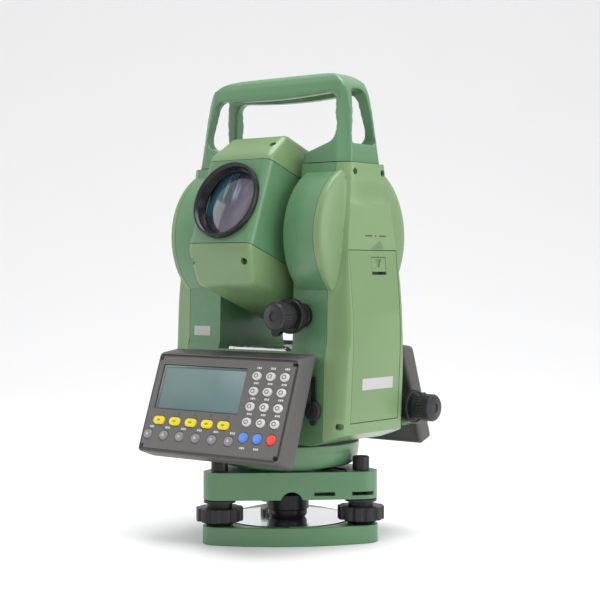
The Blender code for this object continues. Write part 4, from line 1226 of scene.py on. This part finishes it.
def display_window(name, side, *nodes):
    place = panel_frame(side)
    x, y, width, height = WINDOW
    pane = round_box(width / 2 - 0.0003, height / 2 - 0.0003, -0.0023, -0.0009, 0.0008, 0.0002)
    pane.transform(place @ at((x, y, 0)))
    piece(name, pane, CRYSTAL_WITH_PAINTED_SHEEN, "alidade", *nodes, slot="screen")
    # A dark band over the crystal, wider along the left and top edges than along the right and bottom.
    outer = round_box(width / 2 - 0.0004, height / 2 - 0.0004, -0.0012, -0.0007, 0.0008, 0.0001)
    half_x, half_y = width / 2, height / 2
    inner = box((0.0026 - half_x, 0.0009 - half_y, -0.01), (half_x - 0.0009, half_y - 0.0022, 0.01))
    mask = without(outer, inner)
    mask.transform(place @ at((x, y, 0)))
    piece(name + "_mask", mask, MASK, "alidade", slot="screen")


mask_finish = Finish("window_dark_edge_band", Roughness=0.12, Coat_Weight=0.6)
mask_spread = mask_finish.noise(120.0, 3.0)
mask_finish.set(Base_Color=mask_finish.blend(mask_spread, (0.040, 0.070, 0.072), (0.070, 0.105, 0.108)))
MASK = mask_finish.material

display_case("front_display_case", -1, "front_display_housing")
display_case("rear_display_case", 1, "rear_display_housing")
display_window("front_crystal", -1, "front_display_window")
display_window("rear_crystal", 1)

# ---------------------------------------------------------------- keys
# Silicone keys stand out of round and oval pockets. Each has a crowned top and a plain moulded mark.
KEY_RISE, KEY_FOOT = 0.0012, -0.0012


def silicone(name, colour, dark):
    """Matt silicone with a slight bloom and a little dirt."""
    key = Finish(name, Roughness=0.42, Specular_IOR_Level=0.45, Coat_Weight=0.1)
    bloom = key.noise(300.0, 4.0)
    fine = key.noise(2500.0, 2.0)
    shade = key.blend(bloom, colour, tuple(c * 0.90 for c in colour))
    key.set(Base_Color=key.blend((fine ** 4.0) * 0.5, shade, dark), Roughness=bloom * 0.12 + 0.34)
    key.set(Normal=key.relief(fine, 0.000012))
    return key.material


KEY_FINISHES = {
    "white": silicone("white_silicone", (0.62, 0.62, 0.60), (0.35, 0.35, 0.34)),
    "yellow": silicone("yellow_silicone", (0.80, 0.66, 0.02), (0.40, 0.30, 0.02)),
    "grey": silicone("grey_silicone", (0.235, 0.225, 0.245), (0.12, 0.12, 0.13)),
    "blue": silicone("blue_silicone", (0.085, 0.235, 0.66), (0.04, 0.10, 0.30)),
    "red": silicone("red_silicone", (0.76, 0.055, 0.035), (0.30, 0.02, 0.02)),
}
INKS = {
    "white": silicone("grey_ink", (0.16, 0.16, 0.17), (0.10, 0.10, 0.10)),
    "yellow": silicone("brown_ink", (0.42, 0.27, 0.03), (0.25, 0.15, 0.02)),
    "grey": silicone("pale_ink", (0.52, 0.52, 0.53), (0.30, 0.30, 0.30)),
    "blue": silicone("pale_blue_ink", (0.20, 0.38, 0.80), (0.10, 0.20, 0.50)),
    "red": silicone("pale_red_ink", (0.86, 0.16, 0.12), (0.50, 0.08, 0.06)),
}
KEY_RADIUS, OVAL_HALF = 0.0042, (0.0055, 0.0031)


def key_solid(is_oval):
    """A key about the origin, crowned a little."""
    if is_oval:
        rings = []
        crown = (0, KEY_RISE - 0.0008), (0.0003, KEY_RISE - 0.0003), (0.0010, KEY_RISE)
        for inset, z in ((0, KEY_FOOT), *crown):
            bar = rounded_bar(OVAL_HALF[0] - inset, OVAL_HALF[1] - inset)
            rings.append([(x, y, z) for x, y in bar])
        return loft(rings)
    profile = [(0, KEY_RISE), (KEY_RADIUS * 0.55, KEY_RISE - 0.00005)]
    for inset, drop in ((0.0009, 0.00022), (0.0003, 0.0006), (0, 0.0011)):
        profile.append((KEY_RADIUS - inset, KEY_RISE - drop))
    return turned([*profile, (KEY_RADIUS, KEY_FOOT), (0, KEY_FOOT)], 32)


def key_mark(kind, number):
    """The plain mark on a key: a small ring, bar or dot."""
    top = KEY_RISE + 0.00004
    if kind == "yellow":
        return prism(rounded_bar(0.0017, 0.0008, 6), top - 0.0002, top)
    if kind in ("blue", "red"):
        return washer(0.0013, 0.0017, top - 0.0003, top, 20)
    if kind == "grey":
        outline = arc((0, 0), 0.0016, 90, 330, 2)
        return moved(prism(outline, top - 0.0003, top), at(turn=math.radians(60 * number)))
    return washer(0.0012, 0.0021, top - 0.0004, top, 24)


def keys():
    place = panel_frame(-1)
    for kind, number, (x, y), is_oval in key_places():
        node = {"white": f"key_white_{number:02d}", "red": "key_red"}.get(kind, f"key_{kind}_{number}")
        spot = place @ at((x, y, 0))
        slot, finish, shape = f"{kind}_key", KEY_FINISHES[kind], flattened(kind)
        solid = moved(key_solid(is_oval), spot, shape)
        piece(f"front_{kind}_key_{number}", solid, finish, node, node, slot=slot)
        mark = moved(key_mark(kind, number), spot, shape)
        piece(f"front_{kind}_key_mark_{number}", mark, INKS[kind], node, slot=slot)
    place = panel_frame(1)
    for kind, finish in KEY_FINISHES.items():
        solids, marks = [], []
        for number, (x, y), is_oval in (k[1:] for k in key_places() if k[0] == kind):
            spot = place @ at((x, y, 0)) @ flattened(kind)
            solids.append(moved(key_solid(is_oval), spot))
            marks.append(moved(key_mark(kind, number), spot))
        piece(f"rear_{kind}_keys", merged(solids), finish, "alidade", slot=f"{kind}_key")
        piece(f"rear_{kind}_key_marks", merged(marks), INKS[kind], "alidade", slot=f"{kind}_key")


keys()

# ---------------------------------------------------------------- printing on the display faces
# Short plain dashes of white ink stand where the legends would be, and dark ticks over the soft keys.
PRINT = silicone("white_print", (0.60, 0.60, 0.58), (0.45, 0.45, 0.44))
TICK = silicone("dark_print", (0.03, 0.03, 0.03), (0.02, 0.02, 0.02))
LEGENDS = (0.0012, 0.0011, 0.0013), (0.0010, 0.0014, 0.0010), (0.0013, 0.0009, 0.0012)


def print_bar(x, y, width, height):
    return box((x - width / 2, y - height / 2, -0.0001), (x + width / 2, y + height / 2, 0.00006))


def face_printing(name, side):
    place = panel_frame(side)
    white, dark = [], []
    for kind, number, (x, y), _ in key_places():
        if kind == "yellow":
            dark.append(print_bar(x + 0.0022, y + 0.0062, 0.0007, 0.0018))
            continue
        if kind == "red":
            continue
        above = -0.0075 if kind == "blue" else 0.0059
        offset = 0.0022 if kind == "grey" else 0.0008
        widths = LEGENDS[number % 3]
        start = x + offset - (sum(widths) + 0.0008) / 2
        for i, width in enumerate(widths):
            tall = 0.0016 - 0.0003 * ((number + i) % 2)
            white.append(print_bar(start + width / 2, y + above, width, tall))
            start += width + 0.0004
    dashes, ticks = moved(merged(white), place), moved(merged(dark), place)
    piece(f"{name}_legend_dashes", dashes, PRINT, "alidade", slot="white_key")
    piece(f"{name}_ticks", ticks, TICK, "alidade", slot="black")


face_printing("front", -1)
face_printing("rear", 1)

# ---------------------------------------------------------------- battery and its latch
# The battery's outer face is the door. A plain finger latch with a pull slot holds its top, and a
# blank white label is stuck near its foot.


LATCH_FOOT = 0.1982  # above the finger slot


def on_panel(heights, low_y, high_y, inner, sunk=0.0):
    """A solid whose outer face follows the flat panel of the right cover."""
    sections = []
    for z in heights:
        outer = panel_x_at(z) - sunk
        sections.append([(inner, low_y, z), (outer, low_y, z), (outer, high_y, z), (inner, high_y, z)])
    return loft(sections)


def battery():
    low, high = node_box("battery_pack")
    latch_low, latch_high = node_box("battery_latch")
    steps = 18
    heights = [low.z + (high.z - low.z) * i / steps for i in range(steps + 1)]
    room = box(
        (0.0735, latch_low.y - CLEAR, LATCH_FOOT - 0.0022),
        (0.1, latch_high.y + CLEAR, latch_high.z + CLEAR),
    )
    pack = without(on_panel(heights, low.y, high.y, low.x), room)
    pack.transform(at(AXIS))
    piece("battery_door", pack, LEAF, "battery", "battery_pack", slot="leaf", bevel=0.0005, angle=40)
    latch = on_panel((LATCH_FOOT, latch_high.z), latch_low.y, latch_high.y, 0.0740, 0.0002)
    middle = (latch_low.y + latch_high.y) / 2
    z = latch_high.z - 0.0013
    tip = z - 0.0062
    point = [(middle - 0.0036, z), (middle - 0.0005, tip), (middle + 0.0005, tip), (middle + 0.0036, z)]
    arrow = loft([[(x, y, h) for y, h in point] for x in (panel_x_at(z) - 0.0013, 0.09)])
    latch = without(latch, arrow)
    latch.transform(at(AXIS))
    rounding = {"bevel": 0.0004, "angle": 40}
    piece("battery_latch_tab", latch, LEAF, "latch", "battery_latch", slot="leaf", **rounding)


label_finish = Finish("blank_white_label", Roughness=0.35, Coat_Weight=0.3, Coat_Roughness=0.2)
label_cloud = label_finish.noise(90.0, 4.0)
label_finish.set(Base_Color=label_finish.blend(label_cloud, (0.40, 0.40, 0.39), (0.46, 0.46, 0.45)))
label_finish.set(Roughness=label_cloud * 0.15 + 0.28, Normal=label_finish.relief(label_cloud, 0.00002))
LABEL = label_finish.material


PAPER = 0.00018  # how far a label stands out


def door_label():
    sheet = []
    for z in (0.1139, 0.1221):
        back, front = panel_x_at(z) - 0.0002, panel_x_at(z) + PAPER
        sheet.append([(back, -0.0168, z), (front, -0.0168, z), (front, 0.0205, z), (back, 0.0205, z)])
    piece("door_label", moved(loft(sheet), at(AXIS)), LABEL, "battery", slot="white_key")


def front_label():
    sheet = []
    for z in (0.1502, 0.1573):
        back, front = -depth_at(z) + 0.0003, -depth_at(z) - PAPER
        sheet.append([(-0.0608, front, z), (-0.0447, front, z), (-0.0447, back, z), (-0.0608, back, z)])
    piece("frame_label", moved(loft(sheet), at(AXIS)), LABEL, "alidade", slot="white_key")


battery()
door_label()
front_label()

# ---------------------------------------------------------------- drives
# Two drives stick out of the standards, to the front and to the right. Each has a sleeve, a clamp
# ring with a finger lever, and a ribbed fine-motion knob on the same axis. All are moulded black.
KNOB = black_finish("knob_black_plastic", (0.008, 0.008, 0.009), 0.24)


def drive_piece(name, mesh, spot, body, *nodes):
    piece(name, moved(mesh, spot), KNOB, body, *nodes, slot="black", bevel=0.0003, segments=2, angle=45)


def drive(name, spot, lever_length, lever_angle):
    """The clamp and the knob of one drive, along the spot's Z."""
    ring_low, ring_high = CLEAR + 0.0110, CLEAR + 0.0165
    sleeve = [(0, ring_low + 0.001), (0.0087, ring_low + 0.001), (0.0087, 0.0060), (0.0078, 0.0054)]
    sleeve += [(0.0078, 0.0038), (0.0087, 0.0032), (0.0087, CLEAR), (0, CLEAR)]
    rim = [(0, ring_high), (0.0119, ring_high), (0.0127, ring_high - 0.0008)]
    rim += [(0.0127, ring_low + 0.0008), (0.0119, ring_low), (0, ring_low)]
    tip = arc((lever_length - 0.0030, 0), 0.0030, -90, 90, 8)
    outline = [(0.006, -0.0042), (0.0115, -0.0036), *tip, (0.0115, 0.0036), (0.006, 0.0042)]
    arm = prism(outline, ring_low + 0.0004, ring_high - 0.0006)
    arm.transform(at(turn=math.radians(lever_angle)))
    clamp = combined(turned(rim, 72), "UNION", turned(sleeve, 64), arm)
    clamp = without(clamp, washer(0.0100, 0.0112, ring_high - 0.0007, ring_high + 0.01, 64))
    drive_piece(f"{name}_clamp_lever", clamp, spot, f"{name}_clamp", f"{name}_clamp")
    low = ring_high + CLEAR
    high = low + 0.0165
    grip = ribbed(0.0101, 0.0006, 30, low + 0.0062, high - 0.0016, 8)
    core = [(0, high), (0.0072, high), (0.0076, high - 0.0003)]
    core += [(0.0089, high - 0.0003), (0.0099, high - 0.0014)]
    core += [(0.0095, low + 0.0062), (0.0084, low + 0.0046), (0.0084, low), (0, low)]
    knob = combined(grip, "UNION", turned(core, FINE))
    knob = without(knob, washer(0, 0.0034, high - 0.0006, high + 0.01, 32))
    node = f"{name}_tangent_knob"
    drive_piece(f"{name}_fine_motion_knob", knob, spot, node, node)


drive("vertical", at(AXIS + Vector((0.0445, -0.0370, 0.1670))) @ ALONG_MINUS_Y, 0.0210, 222)
drive("horizontal", at(AXIS + Vector((SEAM_X, 0.0505, 0.0976))) @ ALONG_X, 0.0170, 120)

# ---------------------------------------------------------------- port cap
# A soft rubber cap closes the data port at the foot of the right standard. Its strap runs up the
# casting to two small bright screws, and a tab below helps to pull it off.
RUBBER = black_finish("dust_cap_rubber", (0.016, 0.016, 0.018), 0.52, 0.00003)


def port_cap():
    face = -depth_at(0.0890) - CLEAR
    x, z = 0.0588, 0.1000
    profile = [(0, 0.0045), (0.0040, 0.0045), (0.0044, 0.0041), (0.0058, 0.0041)]
    profile += [(0.0066, 0.0034), (0.0067, 0.0004), (0.0064, 0), (0, 0)]
    cap = turned(profile, 56)
    strap = box((-0.0020, 0, 0.0001), (0.0020, 0.0242, 0.0014))
    tab = prism([*arc((0, -0.0082), 0.0022, 180, 360, 8), (0.0022, 0), (-0.0022, 0)], 0.0006, 0.0028)
    whole = combined(cap, "UNION", strap, tab)
    spot = at(AXIS + Vector((x, face, z))) @ ALONG_MINUS_Y
    rounding = {"bevel": 0.0003, "segments": 2, "angle": 45}
    piece("port_dust_cap", moved(whole, spot), RUBBER, "alidade", "port_cap", slot="rubber", **rounding)
    dome = [(0, 0.0009), (0.0007, 0.0008), (0.0012, 0.0003), (0.0012, -0.0004), (0, -0.0004)]
    heads = []
    for head_x, head_z in ((0.0553, 0.1222), (0.0566, 0.1188)):
        head = at(AXIS + Vector((head_x, -depth_at(head_z), head_z)))
        heads.append(moved(turned(dome, 24), head, ALONG_MINUS_Y))
    piece("strap_screws", merged(heads), STEEL, "alidade", slot="steel")


port_cap()

# ---------------------------------------------------------------- plate level
# A bright tube with capped ends lies in a trough of the floor between the standards. A slot along
# its top shows the tinted vial and its bubble.


def plate_level():
    low, high = node_box("tubular_level")
    end, radius = (high.x - low.x) / 2 - 0.0001, (high.z - low.z) / 2 - 0.0001
    spot = at(AXIS + (low + high) / 2) @ ALONG_X
    waist = radius - 0.0004
    cap = [(radius - 0.0010, end), (radius, end - 0.0010), (radius, end - 0.0052), (waist, end - 0.0056)]
    profile = [(0, end), *cap, *((out, -up) for out, up in reversed(cap)), (0, -end)]
    slot_top = box((-0.02, -0.0026, -0.0150), (-0.0010, 0.0026, 0.0150))
    tube = moved(without(turned(profile, 56), slot_top), spot)
    rounding = {"bevel": 0.0002, "segments": 2, "angle": 40}
    piece("plate_level_tube", tube, STEEL, "alidade", "tubular_level", slot="steel", **rounding)
    vial = Finish("tinted_vial", Roughness=0.05, Coat_Weight=0.8, Coat_Roughness=0.03)
    swirl = vial.noise(140.0)
    vial.set(Base_Color=vial.blend(swirl, (0.10, 0.16, 0.03), (0.20, 0.27, 0.07)))
    half = [(0, 0.0148), (0.0024, 0.0148), (0.0026, 0.0140)]
    glass = turned([*half, *((out, -up) for out, up in reversed(half))], 40)
    piece("plate_level_vial", moved(glass, spot), vial.material, "alidade", slot="glass")
    lines = [washer(0.0026, 0.0027, h - 0.0002, h + 0.0002, 40) for h in (-0.006, -0.004, 0.004, 0.006)]
    piece("plate_level_lines", moved(merged(lines), spot), BLACK, "alidade", slot="black")


plate_level()

# ---------------------------------------------------------------- marks above the battery door
# Plain printed marks on the cover over the door show how it is put in: two dashes, a dot between
# them and a small triangle.


def door_marks():
    ink = moulded_green("dark_green_ink", (0.010, 0.018, 0.009))
    pale = moulded_green("deep_leaf_green_ink", (0.088, 0.150, 0.064))
    dashes = [arc((0.0044, 0.2240), 0.0007, 0, 330, 11)]
    for y0, y1 in ((-0.0083, 0.0002), (0.0090, 0.0171)):
        dashes.append([(y0, 0.2236), (y1, 0.2236), (y1, 0.2244), (y0, 0.2244)])
    triangle = [(-0.0022, 0.2146), (0.0138, 0.2146), (0.0092, 0.2208)]
    for name, finish, outlines in (("door_dashes", ink, dashes), ("door_triangle", pale, [triangle])):
        solids = []
        for outline in outlines:
            layers = [[(panel_x_at(z) + lift, y, z) for y, z in outline] for lift in (-0.0003, 0.00012)]
            solids.append(loft(layers))
        piece(name, moved(merged(solids), at(AXIS)), finish, "alidade", slot="leaf")


door_marks()

# ---------------------------------------------------------------- hidden shafts and circles
# The turning spindle, the telescope's axle and the two divided glass circles stay inside the
# housings. The shafts are ground steel, and the circles are clear glass with a dark coated edge.


def circle_glass():
    glass = Finish("divided_circle_glass", Roughness=0.06, Coat_Weight=0.5)
    cloud = glass.noise(60.0)
    glass.set(Base_Color=glass.blend(cloud, (0.10, 0.14, 0.15), (0.16, 0.20, 0.21)))
    glass.set(Roughness=cloud * 0.06 + 0.04)
    return glass.material


CIRCLE_GLASS = circle_glass()
for node, finish in (
    ("vertical_spindle", STEEL),
    ("trunnion_axle", STEEL),
    ("horizontal_circle", CIRCLE_GLASS),
    ("vertical_circle", CIRCLE_GLASS),
):
    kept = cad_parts[node].data
    kept.materials.clear()
    kept.materials.append(finish)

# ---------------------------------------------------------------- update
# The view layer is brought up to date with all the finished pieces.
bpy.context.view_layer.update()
